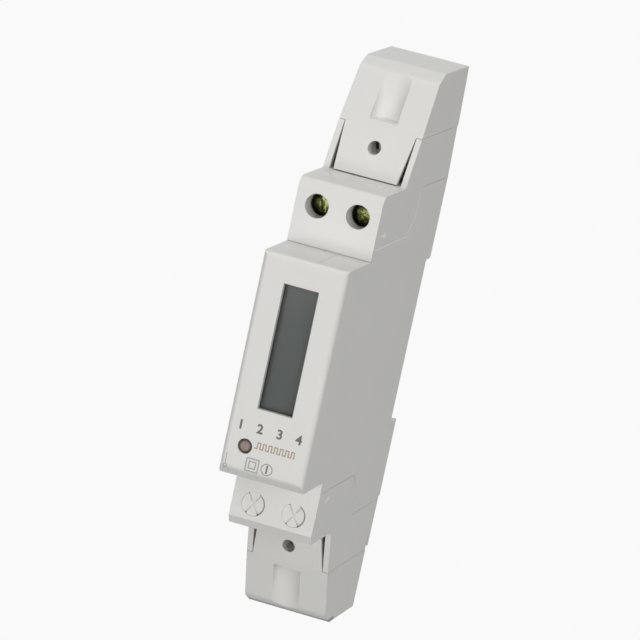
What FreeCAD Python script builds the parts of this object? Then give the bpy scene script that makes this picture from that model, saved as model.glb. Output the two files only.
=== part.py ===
import FreeCAD, Part
import os
import re

import Sketcher

Vector = FreeCAD.Vector

# Driving dimensions in millimetres. The rail seat is the plane y = 0, the front faces -Y and the top +Z.
# A name that ends in _front is a distance in front of the rail seat, one in _half a height above the middle.
SIZES = {
    "module_width": 18.0,
    "wall": 1.2,
    "seam_gap": 0.08,
    "slip_gap": 0.1,
    "nose_front": 58.8,
    "nose_half": 23.2,
    "nose_chamfer": 1.7,
    "nose_round": 1.1,
    "shoulder_front": 44.0,
    "shoulder_rise": 13.5,
    "shoulder_round": 2.0,
    "foot_bevel_height": 1.8,
    "foot_bevel_depth": 1.4,
    "wing_front": 29.0,
    "wing_rise": 9.8,
    "wing_lean": 4.4,
    "cover_rise": 12.75,
    "cover_lean": 5.7,
    "bend_drop": 1.9,
    "bend_lean": 3.9,
    "bend_round": 3.0,
    "cover_back": 2.2,
    "cover_taper": 0.4,
    "housing_back": 3.0,
    "wing_back": 1.7,
    "lower_back": 4.2,
    "lower_wall_drop": 0.7,
    "seam_step": 2.6,
    "seam_corner_front": 16.4,
    "seam_corner_rise": 3.9,
    "seam_turn": 4.1,
    "floor_step": 0.7,
    "rail_notch_half": 17.8,
    "rail_seat_inset": 2.0,
    "rail_relief": 0.3,
    "rail_lip_slot": 1.2,
    "hook_tip_inset": 1.6,
    "hook_root_inset": 0.2,
    "base_wall": 1.5,
    "base_tail": 6.0,
    "window_width": 7.5,
    "window_head": 5.5,
    "window_foot": 14.8,
    "window_side": 0.15,
    "window_margin": 1.0,
    "window_pane": 1.0,
    "glass_gap": 0.1,
    "glass_thick": 2.1,
    "glass_margin": 0.9,
    "led_inset": 4.5,
    "led_rise": 6.7,
    "led_radius": 1.45,
    "led_crown": 0.5,
    "led_flange_radius": 1.8,
    "led_flange_thick": 1.2,
    "led_clearance": 0.1,
    "led_sink": 0.2,
    "screw_inset": 4.0,
    "access_radius": 2.5,
    "collar_wall": 0.7,
    "collar_depth": 3.0,
    "disc_recess": 0.35,
    "disc_skin": 0.45,
    "disc_cut": 0.25,
    "disc_cut_inner": 0.9,
    "disc_cut_angle": 57.0,
    "divider_thick": 1.2,
    "divider_set": 2.0,
    "divider_back": 3.0,
    "seal_drop": 3.8,
    "seal_hole_radius": 1.4,
    "seal_tube_wall": 0.75,
    "seal_tube_gap": 0.3,
    "seal_tube_length": 5.0,
    "wire_entry_radius": 2.8,
    "wire_axis_rise": 3.6,
    "tongue_taper": 1.0,
    "tongue_depth": 1.4,
    "tongue_foot_gap": 0.25,
    "scoop_width": 6.0,
    "scoop_start": 1.5,
    "scoop_depth": 3.0,
    "scoop_overrun": 1.0,
    "scoop_end_depth": 0.2,
    "tab_thick": 1.05,
    "tab_reach": 3.0,
    "tab_root": 3.0,
    "tab_front": 16.0,
    "tab_length": 10.0,
    "clamp_side_gap": 0.5,
    "clamp_height": 14.0,
    "clamp_length": 9.6,
    "wire_bore_radius": 2.5,
    "screw_radius": 1.9,
    "screw_clearance": 0.05,
    "screw_head_radius": 2.3,
    "screw_head_thick": 1.8,
    "screw_head_edge": 0.3,
    "screw_head_gap": 0.2,
    "screw_tip_gap": 0.2,
    "slot_width": 0.8,
    "slot_depth": 0.9,
    "shunt_shift": 0.2,
    "shunt_thick": 1.6,
    "shunt_front": 27.0,
    "shunt_back": 19.0,
    "shunt_waist": 1.5,
    "shunt_waist_half": 6.0,
    "tap_width": 0.9,
    "tap_half": 4.0,
    "neutral_wall_gap": 0.2,
    "neutral_thick": 0.8,
    "neutral_front": 25.0,
    "neutral_back": 20.0,
    "board_thick": 1.6,
    "board_wall_gap": 1.6,
    "board_end_gap": 3.0,
    "board_front_gap": 0.2,
    "display_board_thick": 1.2,
    "display_board_end_gap": 0.6,
    "display_board_edge_gap": 0.2,
    "post_radius": 1.2,
    "post_wall_gap": 1.9,
    "post_inset": 1.4,
    "rib_thick": 1.0,
    "rib_height": 3.5,
    "rib_inset": 3.0,
    "header_rise": 2.5,
    "header_depth": 5.0,
    "header_length": 10.0,
    "film_front": 19.0,
    "film_low": 17.0,
    "film_rise": 6.8,
    "film_depth": 12.0,
    "film_length": 18.0,
    "chip_gap": 5.5,
    "chip_rise": 1.6,
    "chip_depth": 4.0,
    "chip_length": 10.0,
    "controller_set": 6.7,
    "controller_up": 8.0,
    "controller_rise": 1.4,
    "controller_side": 10.0,
    "crystal_set": 8.2,
    "crystal_low": 5.0,
    "crystal_rise": 3.5,
    "crystal_depth": 4.6,
    "crystal_length": 10.5,
    "varistor_front": 11.5,
    "varistor_up": 9.0,
    "varistor_radius": 4.6,
    "varistor_thick": 4.0,
    "can_front": 37.0,
    "can_low": 11.5,
    "can_radius": 4.0,
    "can_wall_gap": 1.4,
    "clip_thick": 1.6,
    "clip_gap": 0.2,
    "guide_wall": 1.2,
    "clip_shoulder": 1.2,
    "clip_flange_thick": 0.7,
    "clip_travel": 3.5,
    "clip_hook_inset": 1.5,
    "clip_hook_thick": 1.5,
    "clip_paddle_gap": 0.15,
    "clip_paddle_height": 11.0,
    "clip_slot_side": 2.4,
    "clip_slot_rise": 2.2,
    "clip_slot_height": 2.0,
    "spring_wire": 0.4,
    "spring_length": 6.9,
    "spring_depth": 1.4,
    "spring_side_gap": 0.15,
    "pocket_side": 3.6,
    "pocket_depth": 2.0,
    "lug_thick": 1.6,
    "lug_gap": 0.6,
}

# Sizes that follow from those above, so that pieces which meet keep meeting.
DERIVED = {
    "inner_half": "module_width / 2 - wall",
    "slip_half": "inner_half - slip_gap",
    "shoulder_half": "nose_half + shoulder_rise",
    "crease_half": "shoulder_half + wing_rise",
    "cover_end": "crease_half + cover_rise",
    "bend_half": "cover_end - bend_drop",
    "crease_front": "wing_front - wing_lean",
    "bend_front": "crease_front - cover_lean",
    "cover_top_front": "bend_front - bend_lean",
    "wing_slope": "wing_lean / wing_rise",
    "cover_slope": "cover_lean / (cover_rise - bend_drop)",
    "rail_seat_half": "rail_notch_half - rail_seat_inset",
    "hook_tip_half": "rail_notch_half - hook_tip_inset",
    "hook_root_half": "rail_notch_half - hook_root_inset",
    "clip_hook_half": "rail_notch_half - clip_hook_inset",
    "seam_low": "nose_half + seam_step",
    "seam_corner_half": "seam_low + seam_corner_rise",
    "seam_high": "shoulder_half - wall",
    "seam_turn_front": "seam_corner_front + seam_turn",
    "floor_front": "seam_corner_front - floor_step",
    "flange_front": "shoulder_front - wall - seam_gap",
    "lower_wall_half": "seam_high - lower_wall_drop",
    "window_height": "2 * nose_half - window_head - window_foot",
    "window_up": "(window_foot - window_head) / 2",
    "pane_back": "nose_front - wall - window_pane",
    "glass_back": "pane_back - glass_gap - glass_thick",
    "display_back": "glass_back - display_board_thick",
    "led_side": "module_width / 2 - led_inset",
    "led_down": "nose_half - led_rise",
    "screw_up": "shoulder_half - wall - screw_inset",
    "clamp_width": "slip_half - divider_thick / 2 - clamp_side_gap",
    "terminal_side": "slip_half - clamp_width / 2",
    "clamp_end": "shoulder_half - wall - clamp_length",
    "clamp_seat": "floor_front + wall",
    "wire_axis": "clamp_seat + wire_axis_rise",
    "screw_head_front": "shoulder_front - wall - collar_depth - screw_head_gap",
    "seal_up": "crease_half - seal_drop",
    "seal_tube_radius": "seal_hole_radius + seal_tube_wall",
    "tongue_root_side": "slip_half",
    "tongue_foot_side": "slip_half - tongue_taper",
    "scoop_low_half": "crease_half + scoop_start",
    "shunt_side": "terminal_side + shunt_shift",
    "neutral_side": "inner_half - neutral_wall_gap - neutral_thick",
    "board_side": "inner_half - board_wall_gap",
    "board_face": "board_side - board_thick",
    "board_half": "nose_half - wall - board_end_gap",
    "controller_front": "display_back - controller_set",
    "crystal_front": "display_back - crystal_set",
    "chip_front": "controller_front - controller_side - chip_gap",
    "chip_up": "board_half - chip_length",
    "can_length": "board_face + inner_half - can_wall_gap",
    "display_board_half": "nose_half - wall - display_board_end_gap",
    "post_side": "inner_half - post_wall_gap",
    "post_half": "display_board_half - post_inset",
    "rib_half": "board_half - rib_inset",
    "clip_front": "lower_back - clip_thick",
    "channel": "clip_front - clip_gap",
    "clip_stem_side": "slip_half - guide_wall - clip_gap",
    "clip_crown_side": "clip_stem_side - clip_shoulder",
    "clip_paddle_front": "housing_back + clip_paddle_gap",
    "clip_paddle_top": "lower_wall_half + clip_gap",
    "clip_end_half": "clip_paddle_top + clip_paddle_height",
    "hook_room_half": "rail_notch_half + clip_travel + 2 * clip_gap",
    "pocket_top_half": "hook_room_half + wall",
    "lug_low_half": "pocket_top_half + lug_gap + lug_thick",
    "spring_low_half": "lug_low_half + spring_length",
}
SPRING_LEGS = 5
SCREW_TURNS = {"line_in": 6.0, "neutral_in": 38.0, "line_out": 35.0, "neutral_out": 80.0}

doc = FreeCAD.newDocument("rail_meter")
pieces = []


def make_sheet():
    """The spreadsheet that holds every driving dimension under its own name."""
    sheet = doc.addObject("Spreadsheet::Sheet", "Sizes")
    for row, (alias, value) in enumerate(SIZES.items(), 1):
        sheet.set("A%d" % row, alias)
        sheet.set("B%d" % row, str(value))
        sheet.setAlias("B%d" % row, alias)
    doc.recompute()
    return sheet


sheet = make_sheet()


def bound(text):
    """The expression with each driving size pointed at its cell and each derived one written out."""
    def spell(found):
        name = found[0]
        if name in DERIVED:
            return "(%s)" % bound(DERIVED[name])
        return "Sizes." + name if name in SIZES else name

    return re.sub(r"[a-z_]+", spell, text)


def value(text):
    """What an expression of named sizes comes to, in millimetres or degrees."""
    result = sheet.evalExpression(bound(text))
    return float(getattr(result, "Value", result))


def new_body(label):
    body = doc.addObject("PartDesign::Body", label)
    body.Label = label
    pieces.append(body)
    return body


def place(body, x="0", y="0", z="0", axis=Vector(0, 1, 0), angle=0.0):
    """Puts a body at named distances, turned about an axis through its own origin."""
    body.Placement = FreeCAD.Placement(Vector(0, 0, 0), FreeCAD.Rotation(axis, angle))
    for letter, text in zip("xyz", (x, y, z)):
        body.setExpression("Placement.Base." + letter, bound(text))


def turn_over(body):
    """Turns a piece end for end about the Y axis, which is how the lower one of a like pair is fitted."""
    place(body, angle=180.0)


def origin_plane(body, role):
    return next(item for item in body.Origin.OriginFeatures if item.Role == role)


def rectangle(middle, half, low, high):
    """Four corners of an upright rectangle: its middle and half width across, its low and high ends."""
    left, right = "%s - (%s)" % (middle, half), "%s + (%s)" % (middle, half)
    return [(left, low), (right, low), (right, high), (left, high)]


def new_sketch(body, name, plane, offset):
    sketch = body.newObject("Sketcher::SketchObject", name)
    sketch.AttachmentSupport = (origin_plane(body, plane), "")
    sketch.MapMode = "FlatFace"
    sketch.setExpression("AttachmentOffset.Base.z", bound(offset))
    return sketch


def fix_point(sketch, geometry, end, u, v):
    for kind, text in (("DistanceX", u), ("DistanceY", v)):
        index = sketch.addConstraint(Sketcher.Constraint(kind, -1, 1, geometry, end, value(text)))
        sketch.setExpression("Constraints[%d]" % index, bound(text))


def add_polygon(sketch, points):
    first = sketch.GeometryCount
    count = len(points)
    spots = [Vector(value(u), value(v), 0) for u, v in points]
    for i in range(count):
        sketch.addGeometry(Part.LineSegment(spots[i], spots[(i + 1) % count]))
    for i in range(count):
        sketch.addConstraint(Sketcher.Constraint("Coincident", first + i, 2, first + (i + 1) % count, 1))
    for i, (u, v) in enumerate(points):
        fix_point(sketch, first + i, 1, u, v)


def add_circle(sketch, u, v, radius):
    index = sketch.addGeometry(Part.Circle(Vector(value(u), value(v), 0), Vector(0, 0, 1), value(radius)))
    fix_point(sketch, index, 3, u, v)
    k = sketch.addConstraint(Sketcher.Constraint("Radius", index, value(radius)))
    sketch.setExpression("Constraints[%d]" % k, bound(radius))


def draw(body, name, plane, loops, offset="0"):
    """A sketch of closed loops: points make a polygon, three texts a circle's centre and radius."""
    sketch = new_sketch(body, name, plane, offset)
    for loop in loops:
        if isinstance(loop, tuple):
            add_circle(sketch, *loop)
        else:
            add_polygon(sketch, loop)
    return sketch


def extrude(kind, body, name, sketch, length, side, reverse):
    before = body.Tip.Shape.Volume if body.Tip else 0.0
    feature = body.newObject("PartDesign::" + kind, name)
    feature.Profile = sketch
    feature.SideType = "Symmetric" if side == "both" else "One side"
    feature.Reversed = reverse
    feature.setExpression("Length", bound(length))
    sketch.Visibility = False
    doc.recompute()
    change = feature.Shape.Volume - before
    if (change <= 0) == (kind == "Pad"):
        raise RuntimeError("%s of %s changes nothing" % (name, body.Label))
    return feature


def pad(body, name, sketch, length, side="one", reverse=False):
    return extrude("Pad", body, name, sketch, length, side, reverse)


def pocket(body, name, sketch, length, side="one", reverse=False):
    return extrude("Pocket", body, name, sketch, length, side, reverse)


def edges_where(shape, test):
    """The names of the straight edges whose two ends both pass the test."""
    names = []
    for i, edge in enumerate(shape.Edges, 1):
        ends = [vertex.Point for vertex in edge.Vertexes]
        if len(ends) == 2 and all(test(point) for point in ends):
            names.append("Edge%d" % i)
    return names


def soften(body, name, radius, test, kind="Fillet"):
    base = body.Tip
    names = edges_where(base.Shape, test)
    if not names:
        raise RuntimeError("%s of %s finds no edge" % (name, body.Label))
    feature = body.newObject("PartDesign::" + kind, name)
    feature.Base = (base, names)
    feature.setExpression("Radius" if kind == "Fillet" else "Size", bound(radius))
    doc.recompute()
    return feature


def near(a, text, sign=1.0):
    return abs(a - sign * value(text)) < 1e-4


def mirrored(points):
    """The same points with the second coordinate turned over, in reverse order."""
    return [(u, "-(%s)" % v) for u, v in reversed(points)]


def make_main_housing():
    """The tub: nose, window and both side walls, open at the back and towards the two terminal blocks."""
    body = new_body("main_housing")
    upper = [
        ("-nose_front", "nose_half"),
        ("-flange_front", "nose_half"),
        ("-flange_front", "seam_low - seam_gap"),
        ("-seam_turn_front + seam_gap", "seam_low - seam_gap"),
        ("-seam_corner_front + seam_gap", "seam_corner_half - seam_gap"),
        ("-floor_front + seam_gap", "seam_high - seam_gap"),
        ("housing_back", "seam_high - seam_gap"),
        ("housing_back", "rail_notch_half"),
        ("0", "rail_notch_half"),
    ]
    lower = [
        ("0", "-rail_notch_half"),
        ("lower_back", "-rail_notch_half"),
        ("lower_back", "-lower_wall_half"),
        ("housing_back", "-lower_wall_half"),
        ("housing_back", "-(seam_high - seam_gap)"),
    ] + mirrored(upper[1:6]) + [
        ("-(nose_front - nose_chamfer)", "-nose_half"),
        ("-nose_front", "-(nose_half - nose_chamfer)"),
    ]
    outline = draw(body, "SideOutline", "YZ_Plane", [upper + lower])
    pad(body, "Block", outline, "module_width", "both")
    hollow_front = "-(flange_front - wall)"
    hollow = [
        ("-(nose_front - wall)", "nose_half - wall"),
        (hollow_front, "nose_half - wall"),
        (hollow_front, "cover_end"),
        ("2 * lower_back", "cover_end"),
    ]
    inside = draw(body, "Inside", "YZ_Plane", [hollow + mirrored(hollow)])
    pocket(body, "Hollow", inside, "2 * inner_half", "both")
    window = rectangle("window_side", "window_width / 2",
                       "window_up - window_height / 2", "window_up + window_height / 2")
    led = ("-led_side", "-led_down", "led_radius + led_clearance")
    openings = draw(body, "FaceOpenings", "XZ_Plane", [window, led], "nose_front")
    pocket(body, "WindowAndLamp", openings, "wall")
    posts = draw(body, "PostPlaces", "XZ_Plane", [
        ("post_side", "-post_half", "post_radius"), ("-post_side", "post_half", "post_radius")], "glass_back")
    pad(body, "Posts", posts, "window_pane + glass_gap + glass_thick")
    soften(body, "NoseRound", "nose_round", lambda p: near(p.y, "-nose_front") and (
        near(abs(p.x), "module_width / 2") or near(p.z, "nose_half")))
    return body


def make_rear_base():
    """The back plate: rail seat, fixed hook above, and the channel that the spring clip slides in below."""
    body = new_body("rear_base")
    end = "crease_half + base_tail"
    back = [
        ("wing_back", end),
        ("wing_back", "crease_half"),
        ("housing_back", "seam_high"),
        ("housing_back", "hook_tip_half"),
        ("rail_lip_slot", "hook_tip_half"),
        ("rail_lip_slot", "hook_root_half"),
        ("-rail_relief", "hook_root_half"),
        ("-rail_relief", "rail_seat_half"),
        ("0", "rail_seat_half"),
        ("0", "-rail_seat_half"),
        ("-rail_relief", "-rail_seat_half"),
        ("-rail_relief", "-rail_notch_half"),
        ("channel", "-rail_notch_half"),
        ("channel", "-seam_high"),
        ("wing_back", "-crease_half"),
        ("wing_back", "-(%s)" % end),
    ]
    front = [
        ("wing_back - base_wall", "-(%s)" % end),
        ("wing_back - base_wall", "-crease_half"),
        ("channel - base_wall", "-seam_high"),
        ("-base_wall", "-(seam_high - base_wall)"),
        ("-base_wall", "rail_notch_half + base_wall"),
        ("housing_back - base_wall", "rail_notch_half + base_wall"),
        ("housing_back - base_wall", "seam_high"),
        ("wing_back - base_wall", "crease_half"),
        ("wing_back - base_wall", end),
    ]
    outline = draw(body, "SideOutline", "YZ_Plane", [back + front])
    pad(body, "Plate", outline, "2 * slip_half", "both")
    lip_front = "clip_front + clip_flange_thick + clip_gap"
    cheek = [
        ("clip_stem_side + clip_gap", "channel"),
        ("clip_stem_side + clip_gap", lip_front),
        ("clip_crown_side + clip_gap", lip_front),
        ("clip_crown_side + clip_gap", "lower_back"),
        ("slip_half", "lower_back"),
        ("slip_half", "channel"),
    ]
    other = [("-(%s)" % u, v) for u, v in reversed(cheek)]
    guides = draw(body, "GuideSection", "XY_Plane", [cheek, other], "-rail_notch_half")
    pad(body, "ClipGuides", guides, "lower_wall_half - rail_notch_half", reverse=True)
    relief = draw(body, "HookReliefPlace", "XZ_Plane", [rectangle(
        "0", "clip_crown_side + clip_gap", "-hook_room_half", "-rail_seat_half")], "-channel")
    pocket(body, "HookRelief", relief, "channel - rail_lip_slot + clip_gap", reverse=True)
    well = draw(body, "SpringPocketPlace", "XZ_Plane", [rectangle(
        "0", "pocket_side", "-spring_low_half", "-pocket_top_half")], "-channel")
    pocket(body, "SpringPocket", well, "pocket_depth", reverse=True)
    slots = [rectangle(middle, "rib_thick / 2", "-rib_half", "rib_half") for middle in (
        "-(board_side + slip_gap + rib_thick / 2)", "-(board_face - slip_gap - rib_thick / 2)")]
    ribs = draw(body, "BoardRibPlaces", "XZ_Plane", slots, "base_wall")
    pad(body, "BoardRibs", ribs, "rib_height")
    return body


def star_cuts(side):
    """Four radial cuts in a break-out disc at the given side distance, steeper than its diagonals."""
    loops = []
    for a, b in ((1, 1), (1, -1), (-1, 1), (-1, -1)):
        points = []
        for along, across in (("disc_cut_inner", 1), ("access_radius", 1), ("access_radius", -1),
                              ("disc_cut_inner", -1)):
            turn = "%d * cos(disc_cut_angle) * %s + %d * sin(disc_cut_angle) * disc_cut / 2"
            rise = "%d * sin(disc_cut_angle) * %s + %d * cos(disc_cut_angle) * disc_cut / 2"
            points.append(("%s + %s" % (side, turn % (a, along, across * b)),
                           "screw_up + " + rise % (b, along, -across * a)))
        loops.append(points)
    return loops


def add_partitions(body):
    """The wall between the two chambers and the divider between the two wires."""
    partition = draw(body, "PartitionOutline", "YZ_Plane", [[
        ("-(shoulder_front - wall)", "seam_low"),
        ("-(shoulder_front - wall)", "shoulder_half - wall"),
        ("-clamp_seat", "shoulder_half - wall"),
        ("-clamp_seat", "seam_corner_half"),
        ("-seam_turn_front", "seam_low")]])
    pad(body, "Partition", partition, "divider_thick", "both")
    divider = draw(body, "DividerOutline", "YZ_Plane", [[
        ("-(wing_front - divider_set)", "shoulder_half"),
        ("-(crease_front - divider_set)", "crease_half"),
        ("-divider_back", "crease_half"),
        ("-divider_back", "shoulder_half")]])
    pad(body, "Divider", divider, "divider_thick", "both")


def add_seal_tube(body):
    """The tube for the seal wire behind the hole in the cover's tongue, its face parallel to the tongue."""
    back = "(crease_front - tongue_depth - seal_tube_gap + %s * wing_slope)"
    low = "seal_up - seal_tube_radius"
    high = "seal_up + seal_tube_radius"
    face_low = back % ("(crease_half - (%s))" % low)
    face_high = back % ("(crease_half - (%s))" % high)
    spot = ("0", "seal_up", "seal_tube_radius")
    tube = draw(body, "SealTubePlace", "XZ_Plane", [spot], face_low)
    pad(body, "SealTube", tube, "seal_tube_length", reverse=True)
    slant = draw(body, "SealTubeFace", "YZ_Plane", [[
        ("-" + face_low, low), ("-" + face_high, high), ("-wing_front", high), ("-wing_front", low)]])
    pocket(body, "SealTubeSlant", slant, "2 * seal_tube_radius", "both")
    bore = draw(body, "SealBorePlace", "XZ_Plane", [("0", "seal_up", "seal_hole_radius")], "wing_front")
    pocket(body, "SealBore", bore, "wing_front - %s + seal_tube_length" % face_low)


def add_screw_access(body, discs):
    """The two screw holes with their collars, which the lower block closes in front with cut discs."""
    places = [(side, "screw_up", "access_radius") for side in ("terminal_side", "-terminal_side")]
    collars = draw(body, "CollarPlaces", "XZ_Plane", [
        (side, up, "%s + collar_wall" % radius) for side, up, radius in places], "shoulder_front - wall")
    pad(body, "Collars", collars, "collar_depth", reverse=True)
    if not discs:
        bores = draw(body, "AccessBores", "XZ_Plane", places, "shoulder_front")
        pocket(body, "ScrewAccess", bores, "wall + collar_depth")
        return
    recesses = draw(body, "DiscPlaces", "XZ_Plane", places, "shoulder_front")
    pocket(body, "DiscRecesses", recesses, "disc_recess")
    bores = draw(body, "AccessBores", "XZ_Plane", places, "shoulder_front - disc_recess - disc_skin")
    pocket(body, "ScrewAccess", bores, "wall - disc_recess - disc_skin + collar_depth")
    cuts = draw(body, "StarCuts", "XZ_Plane", star_cuts("terminal_side") + star_cuts("-terminal_side"),
                "shoulder_front")
    pocket(body, "BreakoutCuts", cuts, "disc_recess + disc_skin")


def make_terminal_block(label, discs):
    """The shoulder with two screw holes, two chambers behind it and two wings beside the wire space."""
    body = new_body(label)
    outer_edge = [("-shoulder_front", "shoulder_half")]
    if discs:
        outer_edge = [("-shoulder_front", "shoulder_half - foot_bevel_height"),
                      ("-(shoulder_front - foot_bevel_depth)", "shoulder_half")]
    outline = [("-shoulder_front", "nose_half + seam_gap")] + outer_edge + [
        ("-wing_front", "shoulder_half"),
        ("-crease_front", "crease_half"),
        ("wing_back", "crease_half"),
        ("housing_back", "seam_high"),
        ("-floor_front", "seam_high"),
        ("-seam_corner_front", "seam_corner_half"),
        ("-seam_turn_front", "seam_low"),
        ("-(shoulder_front - wall)", "seam_low"),
        ("-(shoulder_front - wall)", "nose_half + seam_gap"),
    ]
    sides = draw(body, "SideOutline", "YZ_Plane", [outline])
    pad(body, "Block", sides, "module_width", "both")
    if not discs:
        soften(body, "ShoulderRound", "shoulder_round",
               lambda p: near(p.y, "-shoulder_front") and near(p.z, "shoulder_half"))
    chamber = [
        ("-(shoulder_front - wall)", "nose_half"),
        ("-(shoulder_front - wall)", "shoulder_half - wall"),
        ("-clamp_seat", "shoulder_half - wall"),
        ("-clamp_seat", "nose_half"),
    ]
    inside = draw(body, "Chambers", "YZ_Plane", [chamber])
    pocket(body, "ChamberSpace", inside, "2 * inner_half", "both")
    above = draw(body, "BetweenWings", "YZ_Plane", [
        [("-shoulder_front", "shoulder_half"), ("-shoulder_front", "cover_end"),
         ("2 * housing_back", "cover_end"), ("2 * housing_back", "shoulder_half")]])
    pocket(body, "WireSpace", above, "2 * inner_half", "both")
    back_gap = "wing_back - base_wall - slip_gap"
    rear = draw(body, "BehindEndWall", "YZ_Plane", [
        [(back_gap, "nose_half"), (back_gap, "shoulder_half"),
         ("2 * housing_back", "shoulder_half"), ("2 * housing_back", "nose_half")]])
    pocket(body, "BaseClearance", rear, "2 * inner_half", "both")
    add_partitions(body)
    add_seal_tube(body)
    add_screw_access(body, discs)
    entries = draw(body, "WireEntryPlaces", "XY_Plane", [
        (side, "-wire_axis", "wire_entry_radius") for side in ("terminal_side", "-terminal_side")],
        "shoulder_half")
    pocket(body, "WireEntries", entries, "wall")
    return body


def draw_scoop_section(body, name, offset, surface, depth):
    """A segment of a circle below the sloping face, closed in front of it."""
    sketch = new_sketch(body, name, "XY_Plane", offset)
    half = "scoop_width / 2"
    centre = "%s + (%s) - ((%s) ^ 2 + (%s) ^ 2) / (2 * (%s))" % (surface, depth, half, depth, depth)
    left = Vector(-value(half), value(surface), 0)
    right = Vector(value(half), value(surface), 0)
    bottom = Vector(0, value(surface) + value(depth), 0)
    ahead = Vector(0, -value("wall"), 0)
    sketch.addGeometry(Part.Arc(right, bottom, left))
    sketch.addGeometry(Part.LineSegment(left, left + ahead))
    sketch.addGeometry(Part.LineSegment(left + ahead, right + ahead))
    sketch.addGeometry(Part.LineSegment(right + ahead, right))
    for a, end_a, b, end_b in ((0, 2, 1, 1), (1, 2, 2, 1), (2, 2, 3, 1), (3, 2, 0, 1)):
        sketch.addConstraint(Sketcher.Constraint("Coincident", a, end_a, b, end_b))
    fix_point(sketch, 1, 1, "-(%s)" % half, surface)
    fix_point(sketch, 2, 1, "-(%s)" % half, surface + " - wall")
    fix_point(sketch, 2, 2, half, surface + " - wall")
    fix_point(sketch, 3, 2, half, surface)
    k = sketch.addConstraint(Sketcher.Constraint("DistanceY", -1, 1, 0, 3, value(centre)))
    sketch.setExpression("Constraints[%d]" % k, bound(centre))
    return sketch


def add_cover_shell(body, root):
    """The cap itself: side outline, round at the bend, hollow, and the thicker strip behind the scoop."""
    sides = draw(body, "SideOutline", "YZ_Plane", [[
        ("-crease_front", root),
        ("-bend_front", "bend_half"),
        ("-cover_top_front", "cover_end"),
        ("cover_back", "cover_end"),
        ("cover_back", root)]])
    pad(body, "Cap", sides, "module_width", "both")
    soften(body, "BendRound", "bend_round", lambda p: near(p.y, "-bend_front") and near(p.z, "bend_half"))
    inside = draw(body, "Inside", "YZ_Plane", [[
        ("-(crease_front - tongue_depth)", "shoulder_half"),
        ("-(crease_front - tongue_depth)", root),
        ("-(bend_front - tongue_depth)", "bend_half - wall / 2"),
        ("-(cover_top_front - wall / 2)", "cover_end - wall"),
        ("2 * cover_back", "cover_end - wall"),
        ("2 * cover_back", "shoulder_half")]])
    pocket(body, "Hollow", inside, "2 * inner_half", "both")
    backing = draw(body, "ScoopBacking", "YZ_Plane", [[
        ("-(crease_front - tongue_depth / 2)", root),
        ("-(bend_front - tongue_depth / 2)", "bend_half - wall / 2"),
        ("-(bend_front - tongue_depth)", "bend_half - wall / 2"),
        ("-(crease_front - scoop_depth - wall)", root)]])
    pad(body, "ScoopWall", backing, "scoop_width + 2 * wall", "both")


def add_tongue(body, root):
    """The tapered tongue that lies between the wings and carries the hole for the seal."""
    foot = "(shoulder_half + tongue_foot_gap)"
    foot_front = "(crease_front + (%s - %s) * wing_slope)" % (root, foot)
    section = draw(body, "TongueSection", "YZ_Plane", [[
        ("-crease_front", root),
        ("-(crease_front - tongue_depth)", root),
        ("-(%s - tongue_depth)" % foot_front, foot),
        ("-" + foot_front, foot)]])
    pad(body, "Tongue", section, "2 * tongue_root_side", "both")
    trims = []
    for sign in ("", "-"):
        trims.append([
            (sign + "tongue_root_side", root),
            (sign + "tongue_foot_side", foot + " - wall"),
            (sign + "module_width", foot + " - wall"),
            (sign + "module_width", root)])
    edges = draw(body, "TongueTaper", "XZ_Plane", trims, "shoulder_front")
    pocket(body, "TongueEdges", edges, "shoulder_front")
    seal = draw(body, "SealHolePlace", "XZ_Plane", [("0", "seal_up", "seal_hole_radius")], "shoulder_front")
    pocket(body, "SealHole", seal, "shoulder_front - crease_front + 2 * tongue_depth")


def add_scoop(body):
    """The finger scoop: a half round at its lower ledge that runs out flat at the bend."""
    low_surface = "-(crease_front - scoop_start * cover_slope)"
    high_surface = "-(bend_front - scoop_overrun * cover_slope)"
    deep = draw_scoop_section(body, "ScoopDeepEnd", "scoop_low_half", low_surface, "scoop_depth")
    shallow = draw_scoop_section(body, "ScoopShallowEnd", "bend_half + scoop_overrun", high_surface,
                                 "scoop_end_depth")
    before = body.Tip.Shape.Volume
    scoop = body.newObject("PartDesign::SubtractiveLoft", "Scoop")
    scoop.Profile = deep
    scoop.Sections = [shallow]
    doc.recompute()
    if scoop.Shape.Volume >= before:
        raise RuntimeError("the scoop cuts nothing")


def add_tabs(body, root):
    """A snap tab inside each wing, which reaches down from the cover's side wall."""
    tabs = []
    for sign in ("", "-"):
        tabs.append([
            (sign + "(slip_half - tab_thick)", "crease_half - tab_reach"),
            (sign + "slip_half", "crease_half - tab_reach"),
            (sign + "slip_half", root),
            (sign + "(slip_half + 2 * slip_gap)", root),
            (sign + "(slip_half + 2 * slip_gap)", "crease_half + tab_root"),
            (sign + "(slip_half - tab_thick)", "crease_half + tab_root")])
    snap = draw(body, "SnapTabs", "XZ_Plane", tabs, "tab_front")
    pad(body, "Tabs", snap, "tab_length", reverse=True)


def make_terminal_cover(label, tapered):
    """A cap over the wire space, with a finger scoop and a tongue. The upper one narrows to its end."""
    body = new_body(label)
    root = "(crease_half + seam_gap)"
    add_cover_shell(body, root)
    add_tongue(body, root)
    add_scoop(body)
    add_tabs(body, root)
    if tapered:
        slivers = []
        for sign in ("", "-"):
            slivers.append([
                (sign + "module_width / 2", root),
                (sign + "(module_width / 2 - cover_taper)", "cover_end"),
                (sign + "module_width", "cover_end"),
                (sign + "module_width", root)])
        draft = draw(body, "SideDraft", "XZ_Plane", slivers, "shoulder_front")
        pocket(body, "Draft", draft, "2 * shoulder_front")
    return body


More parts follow.
